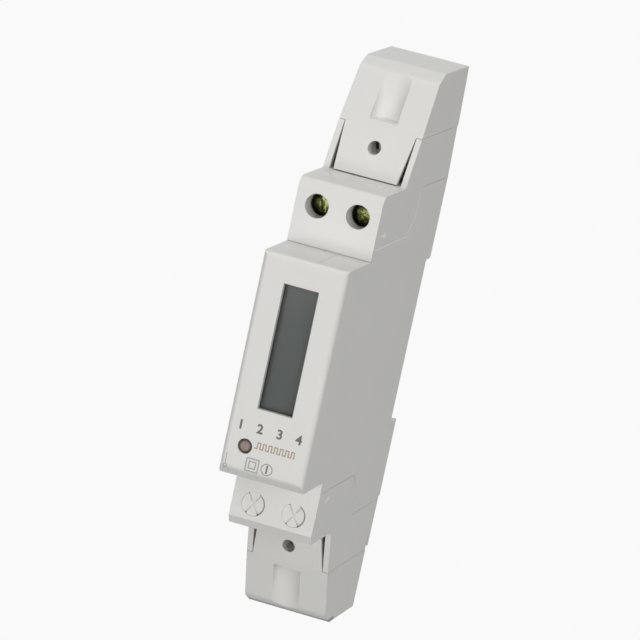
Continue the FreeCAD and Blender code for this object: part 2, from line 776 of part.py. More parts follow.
def make_window():
    """The clear pane glued behind the opening for the display."""
    body = new_body("lcd_window")
    half = "(window_height / 2 + window_margin)"
    pane = draw(body, "Pane", "XZ_Plane", [rectangle(
        "window_side", "window_width / 2 + window_margin", "window_up - " + half, "window_up + " + half)],
        "pane_back")
    pad(body, "PaneThickness", pane, "window_pane")
    return body


def make_glass():
    """The liquid crystal cell: two plates, the rear one wider for the contact ledges."""
    body = new_body("lcd_glass")
    half = "(window_height / 2 + glass_margin)"
    plate = "glass_thick / 2"
    for name, width, back in (("Rear", "window_width / 2 + glass_margin", "glass_back"),
                              ("Front", "window_width / 2 + glass_margin / 2", "glass_back + " + plate)):
        outline = draw(body, name + "Plate", "XZ_Plane", [rectangle(
            "window_side", width, "window_up - " + half, "window_up + " + half)], back)
        pad(body, name + "Glass", outline, plate)
    return body


def revolve(body, name, points):
    """A solid of revolution about the Y axis, from points of distance along it and radius."""
    sketch = draw(body, name + "Profile", "YZ_Plane", [points])
    turn = body.newObject("PartDesign::Revolution", name)
    turn.Profile = sketch
    turn.ReferenceAxis = (origin_plane(body, "Y_Axis"), [""])
    turn.Angle = 360.0
    doc.recompute()
    return turn


def make_led():
    """The pulse lamp, with its flange behind the front wall and its foot on the display board."""
    body = new_body("pulse_led")
    front = "-(nose_front - led_sink)"
    foot = "-glass_back"
    flange = "-(glass_back + led_flange_thick)"
    revolve(body, "Lamp", [
        (front, "0"),
        (front, "led_radius - led_crown"),
        (front + " + led_crown", "led_radius"),
        (flange, "led_radius"),
        (flange, "led_flange_radius"),
        (foot, "led_flange_radius"),
        (foot, "0")])
    place(body, x="-led_side", z="-led_down")
    return body


def make_clamp(label, side, lower):
    """A brass terminal block: a wire bore along Z and a threaded bore for the screw from the front."""
    body = new_body(label)
    centre = "terminal_side" if side * (-1 if lower else 1) > 0 else "-terminal_side"
    block = draw(body, "Plan", "XZ_Plane", [rectangle(
        centre, "clamp_width / 2", "clamp_end", "shoulder_half - wall")], "clamp_seat")
    pad(body, "BrassBlock", block, "clamp_height")
    wire = draw(body, "WireBorePlace", "XY_Plane", [(centre, "-wire_axis", "wire_bore_radius")],
                "shoulder_half - wall")
    pocket(body, "WireBore", wire, "clamp_length")
    tap = draw(body, "ScrewBorePlace", "XZ_Plane", [(centre, "screw_up", "screw_radius + screw_clearance")],
               "clamp_seat + clamp_height")
    pocket(body, "ScrewBore", tap, "clamp_height - wire_axis_rise")
    if lower:
        turn_over(body)
    return body


def make_screw(label, side, lower, turn):
    """A slotted terminal screw, set at its own angle."""
    body = new_body(label)
    head = "-screw_head_front"
    neck = "-(screw_head_front - screw_head_thick)"
    tip = "-(wire_axis + wire_bore_radius + screw_tip_gap)"
    revolve(body, "Turned", [
        (head, "0"),
        (head, "screw_head_radius - screw_head_edge"),
        (head + " + screw_head_edge", "screw_head_radius"),
        (neck, "screw_head_radius"),
        (neck, "screw_radius"),
        (tip, "screw_radius"),
        (tip, "0")])
    slot = draw(body, "SlotPlace", "XZ_Plane", [[
        ("-2 * screw_head_radius", "-slot_width / 2"),
        ("2 * screw_head_radius", "-slot_width / 2"),
        ("2 * screw_head_radius", "slot_width / 2"),
        ("-2 * screw_head_radius", "slot_width / 2")]], "screw_head_front")
    pocket(body, "Slot", slot, "slot_depth")
    place(body, x="%d * terminal_side" % side, z=("-" if lower else "") + "screw_up", angle=turn)
    return body


def make_shunt():
    """The measuring shunt: a bar from the upper to the lower line clamp, waisted at its resistance strip."""
    body = new_body("current_shunt")
    shoulder = "(shunt_waist_half + shunt_waist)"
    outline = [
        ("-shunt_front", "clamp_end"),
        ("-shunt_back", "clamp_end"),
        ("-shunt_back", shoulder),
        ("-(shunt_back + shunt_waist)", "shunt_waist_half"),
        ("-(shunt_back + shunt_waist)", "-shunt_waist_half"),
        ("-shunt_back", "-" + shoulder),
        ("-shunt_back", "-clamp_end"),
        ("-shunt_front", "-clamp_end"),
        ("-shunt_front", "-" + shoulder),
        ("-(shunt_front - shunt_waist)", "-shunt_waist_half"),
        ("-(shunt_front - shunt_waist)", "shunt_waist_half"),
        ("-shunt_front", shoulder),
    ]
    bar = draw(body, "BarOutline", "YZ_Plane", [outline], "shunt_side")
    pad(body, "Bar", bar, "shunt_thick")
    return body


def make_taps():
    """Two square pins that carry the shunt's voltage to the main board."""
    body = new_body("shunt_taps")
    pins = [rectangle("-(shunt_front + shunt_back) / 2", "tap_width / 2", low, high) for low, high in (
        ("tap_half - tap_width / 2", "tap_half + tap_width / 2"),
        ("-tap_half - tap_width / 2", "-tap_half + tap_width / 2"))]
    places = draw(body, "PinPlaces", "YZ_Plane", pins, "-board_face")
    pad(body, "Pins", places, "shunt_side + board_face")
    return body


def make_neutral_bar():
    """The strip that joins the two neutral clamps."""
    body = new_body("neutral_bar")
    strip = draw(body, "StripOutline", "YZ_Plane", [[
        ("-neutral_front", "-clamp_end"),
        ("-neutral_back", "-clamp_end"),
        ("-neutral_back", "clamp_end"),
        ("-neutral_front", "clamp_end")]], "-neutral_side")
    pad(body, "Strip", strip, "neutral_thick", reverse=True)
    return body


def box_piece(label, corner, size):
    """A plain block between two named corners, for moulded parts on the boards."""
    block = doc.addObject("Part::Box", label)
    block.Label = label
    for name, text in zip(("Length", "Width", "Height"), size):
        block.setExpression(name, bound(text))
    for letter, text in zip("xyz", corner):
        block.setExpression("Placement.Base." + letter, bound(text))
    pieces.append(block)
    return block


def make_boards():
    """The main board on edge beside the left wall, and the display board across the nose."""
    front = "display_back - board_front_gap"
    box_piece("main_board", ("-board_side", "-(%s)" % front, "-board_half"),
              ("board_thick", "%s - base_wall" % front, "2 * board_half"))
    half = "(inner_half - display_board_edge_gap)"
    box_piece("display_board", ("-" + half, "-glass_back", "-display_board_half"),
              ("2 * " + half, "display_board_thick", "2 * display_board_half"))


def drum_piece(label, y, z, radius, length):
    """A round component that stands on the main board's face."""
    drum = doc.addObject("Part::Cylinder", label)
    drum.Label = label
    drum.setExpression("Radius", bound(radius))
    drum.setExpression("Height", bound(length))
    drum.Placement = FreeCAD.Placement(Vector(0, 0, 0), FreeCAD.Rotation(Vector(0, 1, 0), 90))
    for letter, text in zip("xyz", ("-board_face", y, z)):
        drum.setExpression("Placement.Base." + letter, bound(text))
    pieces.append(drum)
    return drum


def make_components():
    """The parts on the main board: boxes by corner and size, round ones by centre, radius and length."""
    for label, front, low, size in (
            ("supply_capacitor", "film_front", "-film_low", ("film_rise", "film_depth", "film_length")),
            ("metering_chip", "chip_front", "chip_up", ("chip_rise", "chip_depth", "chip_length")),
            ("microcontroller", "controller_front", "controller_up",
             ("controller_rise", "controller_side", "controller_side")),
            ("crystal", "crystal_front", "-crystal_low", ("crystal_rise", "crystal_depth", "crystal_length")),
            ("board_header", "display_back", "-header_length / 2",
             ("header_rise", "header_depth", "header_length"))):
        box_piece(label, ("-board_face", "-(%s)" % front, low), size)
    drum_piece("varistor", "-varistor_front", "varistor_up", "varistor_radius", "varistor_thick")
    drum_piece("smoothing_capacitor", "-can_front", "-can_low", "can_radius", "can_length")


def make_clip():
    """The sliding rail clip: a stem in the guides, a hook behind the rail's lip and a paddle to pull."""
    body = new_body("rail_clip")
    stem = [
        ("clip_stem_side", "clip_front"),
        ("clip_stem_side", "clip_front + clip_flange_thick"),
        ("clip_crown_side", "clip_front + clip_flange_thick"),
        ("clip_crown_side", "lower_back"),
    ]
    section = draw(body, "StemSection", "XY_Plane", [
        stem + [("-(%s)" % u, v) for u, v in reversed(stem)]], "-(rail_notch_half + clip_gap)")
    pad(body, "Stem", section, "clip_end_half - rail_notch_half - clip_gap", reverse=True)
    hook = draw(body, "HookOutline", "YZ_Plane", [[
        ("rail_lip_slot", "-clip_hook_half"),
        ("rail_lip_slot + clip_hook_thick / 2", "-clip_hook_half"),
        ("lower_back", "-rail_notch_half"),
        ("lower_back", "-(rail_notch_half + 2 * clip_thick)"),
        ("clip_front", "-(rail_notch_half + 2 * clip_thick)"),
        ("clip_front", "-rail_notch_half"),
        ("rail_lip_slot", "-rail_notch_half")]])
    pad(body, "Hook", hook, "2 * clip_crown_side", "both")
    paddle = draw(body, "PaddleOutline", "XZ_Plane", [rectangle(
        "0", "module_width / 2 - clip_gap", "-clip_end_half", "-clip_paddle_top")], "-lower_back")
    pad(body, "Paddle", paddle, "lower_back - clip_paddle_front")
    slot_low = "-(clip_end_half - clip_slot_rise)"
    slot = draw(body, "PullSlotPlace", "XZ_Plane", [rectangle(
        "0", "clip_slot_side", slot_low, slot_low + " + clip_slot_height")], "-clip_front")
    pocket(body, "PullSlot", slot, "clip_thick")
    lug = draw(body, "LugOutline", "YZ_Plane", [[
        ("clip_front", "-lug_low_half"),
        ("clip_front", "-lug_low_half + lug_thick"),
        ("clip_front - pocket_depth", "-lug_low_half + lug_thick"),
        ("clip_front - pocket_depth", "-lug_low_half")]])
    pad(body, "SpringLug", lug, "2 * (pocket_side - clip_gap)", "both")
    return body


def make_spring():
    """The flat zigzag spring between the base and the clip's lug: straight legs joined by half rings."""
    spring = doc.addObject("Part::Feature", "clip_spring")
    spring.Label = "clip_spring"
    wire, depth = value("spring_wire"), value("spring_depth")
    pitch = (value("spring_length") - wire) / (SPRING_LEGS - 1)
    outer, inner = (pitch + wire) / 2, (pitch - wire) / 2
    reach = value("pocket_side - spring_side_gap") - outer
    front = value("channel - (pocket_depth - spring_depth) / 2") - depth
    low = -value("spring_low_half")
    shape = Part.makeBox(2 * reach, depth, wire, Vector(-reach, front, low))
    for leg in range(1, SPRING_LEGS):
        base = low + leg * pitch
        bar = Part.makeBox(2 * reach, depth, wire, Vector(-reach, front, base))
        side = 1 if leg % 2 else -1
        centre = Vector(side * reach, front, base - pitch / 2 + wire / 2)
        ring = Part.makeCylinder(outer, depth, centre, Vector(0, 1, 0))
        ring = ring.cut(Part.makeCylinder(inner, depth, centre, Vector(0, 1, 0)))
        half = Part.makeBox(outer, depth, 2 * outer, centre - Vector(0 if side > 0 else outer, 0, outer))
        shape = shape.fuse([bar, ring.common(half)])
    spring.Shape = shape.removeSplitter()
    spring.Placement = FreeCAD.Placement()
    pieces.append(spring)
    return spring


def make_all():
    make_main_housing()
    make_rear_base()
    make_terminal_block("upper_terminal_block", False)
    turn_over(make_terminal_block("lower_terminal_block", True))
    make_terminal_cover("upper_terminal_cover", True)
    turn_over(make_terminal_cover("lower_terminal_cover", False))
    make_window()
    make_glass()
    make_led()
    for name, side, lower in (("line_in", 1, False), ("neutral_in", -1, False),
                              ("line_out", 1, True), ("neutral_out", -1, True)):
        make_clamp(name + "_clamp", side, lower)
        make_screw(name + "_screw", side, lower, SCREW_TURNS[name])
    make_shunt()
    make_taps()
    make_neutral_bar()
    make_boards()
    make_components()
    make_clip()
    make_spring()


def check_pieces():
    """Stops before anything is written if an object failed or a piece isn't sound."""
    doc.recompute()
    for item in doc.Objects:
        if "Invalid" in item.State or "Error" in item.State:
            raise RuntimeError("%s failed: %s" % (item.Label, item.State))
    for piece in pieces:
        if piece.Shape.isNull() or not piece.Shape.isValid() or not piece.Shape.Solids:
            raise RuntimeError("%s has no sound shape" % piece.Label)


def write_pieces():
    os.makedirs("parts", exist_ok=True)
    for piece in pieces:
        piece.Shape.exportStep("parts/%s.step" % piece.Label)
        box = piece.Shape.BoundBox
        print("%-22s %d solid(s) %9.1f mm3  x %6.2f %6.2f  y %6.2f %6.2f  z %6.2f %6.2f" % (
            piece.Label, len(piece.Shape.Solids), piece.Shape.Volume,
            box.XMin, box.XMax, box.YMin, box.YMax, box.ZMin, box.ZMax))


make_all()
check_pieces()
write_pieces()
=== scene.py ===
import math

import bmesh
import bpy
from mathutils import Matrix, Vector


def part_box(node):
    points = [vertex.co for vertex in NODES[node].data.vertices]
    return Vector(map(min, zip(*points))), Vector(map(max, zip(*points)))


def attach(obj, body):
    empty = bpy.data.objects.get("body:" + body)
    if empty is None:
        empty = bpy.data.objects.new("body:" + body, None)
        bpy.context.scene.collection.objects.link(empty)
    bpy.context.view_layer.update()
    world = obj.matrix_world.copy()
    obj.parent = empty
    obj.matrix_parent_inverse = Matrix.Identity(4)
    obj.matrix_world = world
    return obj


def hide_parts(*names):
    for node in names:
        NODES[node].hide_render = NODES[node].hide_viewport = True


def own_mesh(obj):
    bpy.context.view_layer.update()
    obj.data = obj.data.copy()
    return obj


bl_info = {
    "name": "Rail Meter Dressing",
    "version": (1, 0, 0),
    "blender": (4, 5, 0),
    "location": "View3D > Sidebar > Rail Meter",
    "description": "Finishes, face marks, camera and studio for a one-module rail meter",
    "category": "Object",
}

MM = 0.001
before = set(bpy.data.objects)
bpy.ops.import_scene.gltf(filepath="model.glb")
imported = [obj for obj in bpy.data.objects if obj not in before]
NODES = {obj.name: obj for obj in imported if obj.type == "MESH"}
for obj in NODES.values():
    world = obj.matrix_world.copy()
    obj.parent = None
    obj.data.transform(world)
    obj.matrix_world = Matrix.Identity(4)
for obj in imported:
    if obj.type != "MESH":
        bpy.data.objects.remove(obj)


def middle_mm(node):
    """The middle of a CAD node in millimetres."""
    low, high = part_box(node)
    return (low + high) / 2 / MM


# Faces and middles that the marks are placed by, in millimetres.
SIDE_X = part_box("main_housing")[1].x / MM
NOSE_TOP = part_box("upper_terminal_block")[0].z / MM
SHOULDER_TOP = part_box("upper_terminal_cover")[0].z / MM - 0.25
SHOULDER_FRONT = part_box("lower_terminal_block")[0].y / MM
COVER_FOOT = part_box("lower_terminal_cover")[0].z / MM
LAMP = middle_mm("pulse_led")

# The break-out discs lie in front of the lower screws, a little behind the shoulder's face.
DISC = middle_mm("line_out_screw")
DISC_SET = 0.35
DISC_CUT_ANGLE = math.radians(57.0)

# Printed signs: how thick the ink is and how far it stands out of the plastic.
INK_THICK = 0.02 * MM
INK_LIFT = 0.01 * MM

# Turns a mesh that faces up so that it faces forwards.
FACING = Matrix.Rotation(math.radians(90.0), 4, "X")


class CameraSettings(bpy.types.PropertyGroup):
    """Where the photograph's camera stands."""

    azimuth: bpy.props.FloatProperty(
        name="Azimuth", description="Angle round the meter, from straight ahead to its right side",
        default=math.radians(15.178), subtype="ANGLE", unit="ROTATION")
    elevation: bpy.props.FloatProperty(
        name="Elevation", description="Angle of the camera above the horizon",
        default=math.radians(12.168), subtype="ANGLE", unit="ROTATION")
    roll: bpy.props.FloatProperty(
        name="Roll", description="How far the meter leans to the right in the picture",
        default=math.radians(12.126), subtype="ANGLE", unit="ROTATION")
    distance: bpy.props.FloatProperty(
        name="Distance", description="From the camera to the middle of the rail seat, along the view",
        default=1.0289, subtype="DISTANCE", unit="LENGTH")
    aside: bpy.props.FloatVectorProperty(
        name="Aside", description="How far the seat's middle lies right of and below the picture's middle",
        default=(0.010121, 0.002098), size=2, subtype="XYZ", unit="LENGTH")
    lens: bpy.props.FloatProperty(
        name="Lens", description="Focal length on a sensor 36 mm wide", default=275.67, min=1.0)


class StudioSettings(bpy.types.PropertyGroup):
    """Lamps and floor."""

    surround: bpy.props.FloatProperty(
        name="Surround", description="Strength of the even light from all sides", default=0.28, min=0.0)
    front_power: bpy.props.FloatProperty(
        name="Front", description="Power of the large front lamp", default=18.4, min=0.0, unit="POWER")
    side_power: bpy.props.FloatProperty(
        name="Side", description="Power of the lamp on the right", default=7.9, min=0.0, unit="POWER")
    top_power: bpy.props.FloatProperty(
        name="Top", description="Power of the lamp overhead", default=5.6, min=0.0, unit="POWER")
    front_place: bpy.props.FloatVectorProperty(
        name="Front place", description="Where the front lamp hangs", default=(-0.2, -1.6, -0.25),
        subtype="TRANSLATION", unit="LENGTH")
    side_place: bpy.props.FloatVectorProperty(
        name="Side place", description="Where the lamp on the right hangs", default=(1.15, -1.05, 0.4),
        subtype="TRANSLATION", unit="LENGTH")
    top_place: bpy.props.FloatVectorProperty(
        name="Top place", description="Where the lamp overhead hangs", default=(-0.1, 0.0, 1.3),
        subtype="TRANSLATION", unit="LENGTH")
    lamp_size: bpy.props.FloatProperty(
        name="Lamp size", description="Side of the square lamps", default=0.9, subtype="DISTANCE",
        unit="LENGTH")
    floor_shade: bpy.props.FloatProperty(
        name="Floor shade", description="How pale the floor is for the light that falls on it",
        default=0.28, min=0.0, max=1.0)
    floor_white: bpy.props.FloatProperty(
        name="Floor white", description="How white the floor looks under the meter's shadow",
        default=0.94, min=0.0, max=1.0)
    floor_height: bpy.props.FloatProperty(
        name="Floor height", description="Height of the floor below the rail seat's middle",
        default=-0.3, subtype="DISTANCE", unit="LENGTH")
    floor_width: bpy.props.FloatProperty(
        name="Floor width", description="Side of the square floor", default=12.0, subtype="DISTANCE",
        unit="LENGTH")


class PlasticSettings(bpy.types.PropertyGroup):
    """The moulded housing parts."""

    colour: bpy.props.FloatVectorProperty(
        name="Colour", description="Colour of the moulded plastic", default=(0.745, 0.74, 0.715),
        subtype="COLOR", min=0.0, max=1.0)
    roughness: bpy.props.FloatProperty(
        name="Roughness", description="Roughness of the eroded mould finish", default=0.46, min=0.0, max=1.0)
    edge: bpy.props.FloatProperty(
        name="Edge radius", description="Radius of the softened edges", default=0.00017,
        subtype="DISTANCE", unit="LENGTH")
    # The softened edges are painted paler, as a highlight where they catch the light.
    edge_highlight: bpy.props.FloatProperty(
        name="Edge highlight", description="How much paler the painted-highlight edges are", default=0.15, min=0.0)
    pale: bpy.props.FloatProperty(
        name="Pale marks", description="How much paler the pale marks are", default=0.32, min=0.0)
    dark: bpy.props.FloatProperty(
        name="Dark marks", description="How much darker the dark marks are", default=0.72, min=0.0, max=1.0)
    grain: bpy.props.FloatProperty(
        name="Grain", description="Depth of the moulded grain", default=0.00002, subtype="DISTANCE",
        unit="LENGTH")


class DisplaySettings(bpy.types.PropertyGroup):
    """The window, the cell behind it and the lamp."""

    cell_colour: bpy.props.FloatVectorProperty(
        name="Cell", description="Colour of the unlit display", default=(0.054, 0.062, 0.056),
        subtype="COLOR", min=0.0, max=1.0)
    lamp_colour: bpy.props.FloatVectorProperty(
        name="Lamp", description="Colour of the pulse lamp's smoky resin", default=(0.185, 0.142, 0.108),
        subtype="COLOR", min=0.0, max=1.0)


class MetalSettings(bpy.types.PropertyGroup):
    """Screws, clamps and strips."""

    brass: bpy.props.FloatVectorProperty(
        name="Brass", description="Colour of the passivated screws and clamps",
        default=(0.33, 0.36, 0.12), subtype="COLOR", min=0.0, max=1.0)
    copper: bpy.props.FloatVectorProperty(
        name="Copper", description="Colour of the rolled strips", default=(0.72, 0.38, 0.24),
        subtype="COLOR", min=0.0, max=1.0)


class ScrewSettings(bpy.types.PropertyGroup):
    """The slotted terminal screws."""

    head_radius: bpy.props.FloatProperty(
        name="Head radius", description="Radius of the rounded head", default=0.00195,
        subtype="DISTANCE", unit="LENGTH")
    dome: bpy.props.FloatProperty(
        name="Dome", description="How far the middle of the head stands above its rim", default=0.00055,
        subtype="DISTANCE", unit="LENGTH")
    slot_width: bpy.props.FloatProperty(
        name="Slot width", description="Width of the driver slot", default=0.0009, subtype="DISTANCE",
        unit="LENGTH")
    slot_depth: bpy.props.FloatProperty(
        name="Slot depth", description="Depth of the driver slot", default=0.0009, subtype="DISTANCE",
        unit="LENGTH")
    head_height: bpy.props.FloatProperty(
        name="Head height", description="Height of the whole head", default=0.00175, subtype="DISTANCE",
        unit="LENGTH")
    rim: bpy.props.FloatVectorProperty(
        name="Rim", description="How far the head's rim slopes outwards and down", size=2,
        default=(0.00012, 0.00015), subtype="XYZ", unit="LENGTH")
    edge: bpy.props.FloatProperty(
        name="Edge", description="Width of the softened edges of the slot", default=0.000045,
        subtype="DISTANCE", unit="LENGTH")
    shank_radius: bpy.props.FloatProperty(
        name="Shank radius", description="Radius of the shank over the thread", default=0.0019,
        subtype="DISTANCE", unit="LENGTH")
    pitch: bpy.props.FloatProperty(
        name="Pitch", description="Rise of the thread in one turn", default=0.0007, subtype="DISTANCE",
        unit="LENGTH")
    thread_depth: bpy.props.FloatProperty(
        name="Thread depth", description="Depth of the thread", default=0.0002, subtype="DISTANCE",
        unit="LENGTH")


class SpringSettings(bpy.types.PropertyGroup):
    """The zigzag spring behind the rail clip."""

    wire: bpy.props.FloatProperty(
        name="Wire", description="Thickness of the flat wire", default=0.0004, subtype="DISTANCE",
        unit="LENGTH")
    legs: bpy.props.IntProperty(name="Legs", description="Number of straight legs", default=5, min=2)
    travel: bpy.props.FloatProperty(
        name="Travel", description="How far the clip squeezes the spring", default=0.0035,
        subtype="DISTANCE", unit="LENGTH")


class InkSettings(bpy.types.PropertyGroup):
    """The plain marks on the face."""

    dark: bpy.props.FloatVectorProperty(
        name="Dark ink", description="Colour of the numbers", default=(0.12, 0.12, 0.115),
        subtype="COLOR", min=0.0, max=1.0)
    grey: bpy.props.FloatVectorProperty(
        name="Grey ink", description="Colour of the thin signs", default=(0.34, 0.34, 0.33),
        subtype="COLOR", min=0.0, max=1.0)
    brown: bpy.props.FloatVectorProperty(
        name="Brown ink", description="Colour of the pulse sign beside the lamp",
        default=(0.36, 0.27, 0.15), subtype="COLOR", min=0.0, max=1.0)
    line: bpy.props.FloatProperty(
        name="Line width", description="Width of the printed lines", default=0.00025,
        subtype="DISTANCE", unit="LENGTH")
    weight: bpy.props.FloatProperty(
        name="Weight", description="How much bolder the numbers are, as a share of their size",
        default=0.03, min=0.0)


SETTINGS = {
    "meter_camera": CameraSettings,
    "meter_studio": StudioSettings,
    "meter_plastic": PlasticSettings,
    "meter_display": DisplaySettings,
    "meter_metal": MetalSettings,
    "meter_screws": ScrewSettings,
    "meter_spring": SpringSettings,
    "meter_ink": InkSettings,
}


class Term:
    """A shader value that Python's operators turn into Math nodes."""

    def __init__(self, nodes, socket):
        self.nodes = nodes
        self.socket = socket

    def math(self, operation, *values):
        """One Math node over plain values and terms."""
        return self.nodes.node("ShaderNodeMath", {"operation": operation}, dict(enumerate(values)))

    def __add__(self, other):
        return self.math("ADD", self, other)

    __radd__ = __add__

    def __sub__(self, other):
        return self.math("SUBTRACT", self, other)

    def __rsub__(self, other):
        return self.math("SUBTRACT", other, self)

    def __mul__(self, other):
        return self.math("MULTIPLY", self, other)

    __rmul__ = __mul__

    def __abs__(self):
        return self.math("ABSOLUTE", self)

    def distance(self, other):
        """How far a point lies from the origin when these two are its coordinates."""
        return self.math("SQRT", self * self + other * other)

    def bearing(self, other):
        """The angle of that point, anticlockwise from the first coordinate's axis, in radians."""
        return self.math("ARCTAN2", other, self)

    def __and__(self, other):
        return self.math("MINIMUM", self, other)

    def __or__(self, other):
        return self.math("MAXIMUM", self, other)


class NodeTree:
    """A node tree that is filled node by node."""

    def __init__(self, tree):
        self.tree = tree

    def node(self, kind, settings=None, values=None, output=0):
        """Adds a node with its settings and socket values and gives one of its outputs."""
        made = self.tree.nodes.new(kind)
        for key, setting in (settings or {}).items():
            setattr(made, key, setting)
        for key, value in (values or {}).items():
            self.feed(made.inputs[key], value)
        return Term(self, made.outputs[output])

    def feed(self, socket, value):
        """Links a term to a socket or sets a plain value on it."""
        if isinstance(value, Term):
            self.tree.links.new(value.socket, socket)
        else:
            socket.default_value = value


class Finish(NodeTree):
    """A material under construction, with its Principled shader."""

    def __init__(self, name, **fixed):
        self.material = bpy.data.materials.new(name)
        self.material.use_nodes = True
        super().__init__(self.material.node_tree)
        self.shader = self.tree.nodes["Principled BSDF"]
        for socket, value in fixed.items():
            self.shader.inputs[socket.replace("_", " ")].default_value = value

    def put(self, socket, value):
        """Feeds a socket of the shader."""
        self.feed(self.shader.inputs[socket], value)

    def place(self):
        """The point on the piece in the meter's own frame, in millimetres."""
        point = self.node("ShaderNodeTexCoord", output="Object")
        return self.node("ShaderNodeVectorMath", {"operation": "SCALE"}, {0: point, "Scale": 1.0 / MM})

    def axes(self, point):
        """The x, y and z of a point."""
        return [self.node("ShaderNodeSeparateXYZ", None, {0: point}, axis) for axis in "XYZ"]

    def noise(self, point, size, detail=2.0, roughness=0.5):
        """Noise of a feature size in millimetres, about 0 to 1."""
        return self.node("ShaderNodeTexNoise", None, {
            "Vector": point, "Scale": 1.0 / size, "Detail": detail, "Roughness": roughness})

    def step(self, value, low, high):
        """A soft step from 0 to 1 between two values."""
        return self.node("ShaderNodeMapRange", {"interpolation_type": "SMOOTHSTEP"}, {
            "Value": value, "From Min": low, "From Max": high})

    def band(self, value, middle, half, soft=0.05):
        """1 within half a width of the middle, 0 outside, with soft edges."""
        return 1.0 - self.step(abs(value - middle), half - soft, half + soft)

    def beyond(self, value, edge, soft=0.05):
        """1 where a value is above an edge, 0 below it."""
        return self.step(value, edge - soft, edge + soft)

    def stroke(self, u, v, start, end, half, soft=0.05):
        """1 along a straight line between two points, 0 beside it."""
        run = math.dist(start, end)
        du, dv = (end[0] - start[0]) / run, (end[1] - start[1]) / run
        along = (u - start[0]) * du + (v - start[1]) * dv
        across = (v - start[1]) * du - (u - start[0]) * dv
        return self.band(along, run / 2, run / 2, soft) & self.band(across, 0.0, half, soft)

    def dot(self, u, v, spot, radius, soft=0.08):
        """1 inside a circle, 0 outside it."""
        return 1.0 - self.beyond((u - spot[0]).distance(v - spot[1]), radius, soft)

    def wedge(self, u, v, corners, soft=0.05):
        """1 inside a triangle whose corners run anticlockwise."""
        inside = 1.0
        for i in range(3):
            (au, av), (bu, bv) = corners[i], corners[(i + 1) % 3]
            run = math.dist(corners[i], corners[(i + 1) % 3])
            side = (v - av) * ((bu - au) / run) - (u - au) * ((bv - av) / run)
            inside = self.beyond(side, 0.0, soft) & inside
        return inside

    def highlit_edges(self, normal):
        """1 on the softened edges and 0 on the flats, where the painted edge highlight goes."""
        flat = self.node("ShaderNodeNewGeometry", output="Normal")
        turn = self.node("ShaderNodeVectorMath", {"operation": "DOT_PRODUCT"}, {0: normal, 1: flat}, "Value")
        return self.step(1.0 - turn, 0.01, 0.16)

    def mix(self, factor, under, over):
        """One colour laid over another by a factor; sockets 6 and 7 of the node take colours."""
        return self.node("ShaderNodeMix", {"data_type": "RGBA"}, {0: factor, 6: under, 7: over}, 2)

    def tint(self, colour, factor):
        """A colour made lighter or darker by a value."""
        values = {0: tuple(colour)[:3], "Scale": factor}
        return self.node("ShaderNodeVectorMath", {"operation": "SCALE"}, values)

    def bump(self, height, distance, normal=None):
        """The normal of a relief of a given depth."""
        values = {"Height": height, "Distance": distance, "Strength": 1.0}
        if normal is not None:
            values["Normal"] = normal
        return self.node("ShaderNodeBump", None, values)

    def rounded(self, radius):
        """The normal of edges softened to a radius."""
        return self.node("ShaderNodeBevel", {"samples": 6}, {"Radius": radius})


def dress(piece, finish):
    """Puts one material on a whole piece."""
    piece.data.materials.clear()
    piece.data.materials.append(finish.material)


def moulded_plastic(name, settings, shade=1.0, marks=None):
    """Light grey plastic with the grain of the mould, a little flow in its colour and a painted highlight
    along its softened edges.
    """
    finish = Finish(name, IOR=1.5, Specular_IOR_Level=0.42)
    point = finish.place()
    flow = finish.noise(point, 14.0, 3.0, 0.55)
    grain = finish.noise(point, 0.35, 3.0, 0.6)
    peel = finish.noise(point, 2.4, 2.0, 0.5)
    soft = finish.rounded(settings.edge)
    # The softened edges are painted paler here: a painted highlight.
    factor = shade * (0.975 + 0.04 * flow + 0.012 * grain) * (1.0 + settings.edge_highlight * finish.highlit_edges(soft))
    height = 0.7 * grain + 0.3 * peel
    if marks is not None:
        pale, dark, raised = marks(finish, *finish.axes(point))
        factor = factor * (1.0 + settings.pale * pale) * (1.0 - settings.dark * dark)
        height = height + raised
    finish.put("Base Color", finish.tint(settings.colour, factor))
    finish.put("Roughness", settings.roughness - 0.05 + 0.07 * peel + 0.05 * grain)
    finish.put("Normal", finish.bump(height, settings.grain, soft))
    return finish


# Each function of marks gives what is paler, what is darker and what is raised, the last in depths of grain;
# some of the pale is painted highlight and some of the dark is painted shade.


def side_walls(finish, x):
    """1 on the two side walls."""
    return finish.beyond(abs(x), SIDE_X - 0.1)


def seam_highlight(finish, x, y, z):
    """A painted highlight along the stepped seam of the upper shoulder, on the side walls, where the seam's
    edges catch the light.
    """
    route = ((-43.5, 25.65), (-20.5, 25.65), (-16.4, 29.6), (-16.4, 34.6))
    line = 0.0
    for start, end in zip(route, route[1:]):
        line = finish.stroke(y, z, start, end, 0.2, 0.08) | line
    return side_walls(finish, x) & line


def nose_marks(finish, x, y, z):
    """The join across the top of the nose and its small notch, and on the side walls a short pale stroke, a
    gate and the painted highlight along the seam.
    """
    top = finish.beyond(z, NOSE_TOP - 0.23) & (1.0 - finish.beyond(z, NOSE_TOP + 0.72))
    join = finish.stroke(x, y, (2.1, -57.6), (2.1, -44.0), 0.07, 0.04)
    notch = finish.dot(x, y, (-0.69, -44.6), 0.3)
    dark = top & ((0.5 * join) | (0.8 * notch))
    side = side_walls(finish, x)
    pale_stroke = side & finish.stroke(y, z, (-5.6, 42.8), (-3.8, 40.4), 0.13, 0.08)
    gate = side & finish.dot(y, z, (-13.8, 35.8), 0.25)
    # Paler: the short stroke and the painted highlight along the seam.
    return (0.9 * pale_stroke) | seam_highlight(finish, x, y, z), dark | (0.5 * gate), dark * -2.0


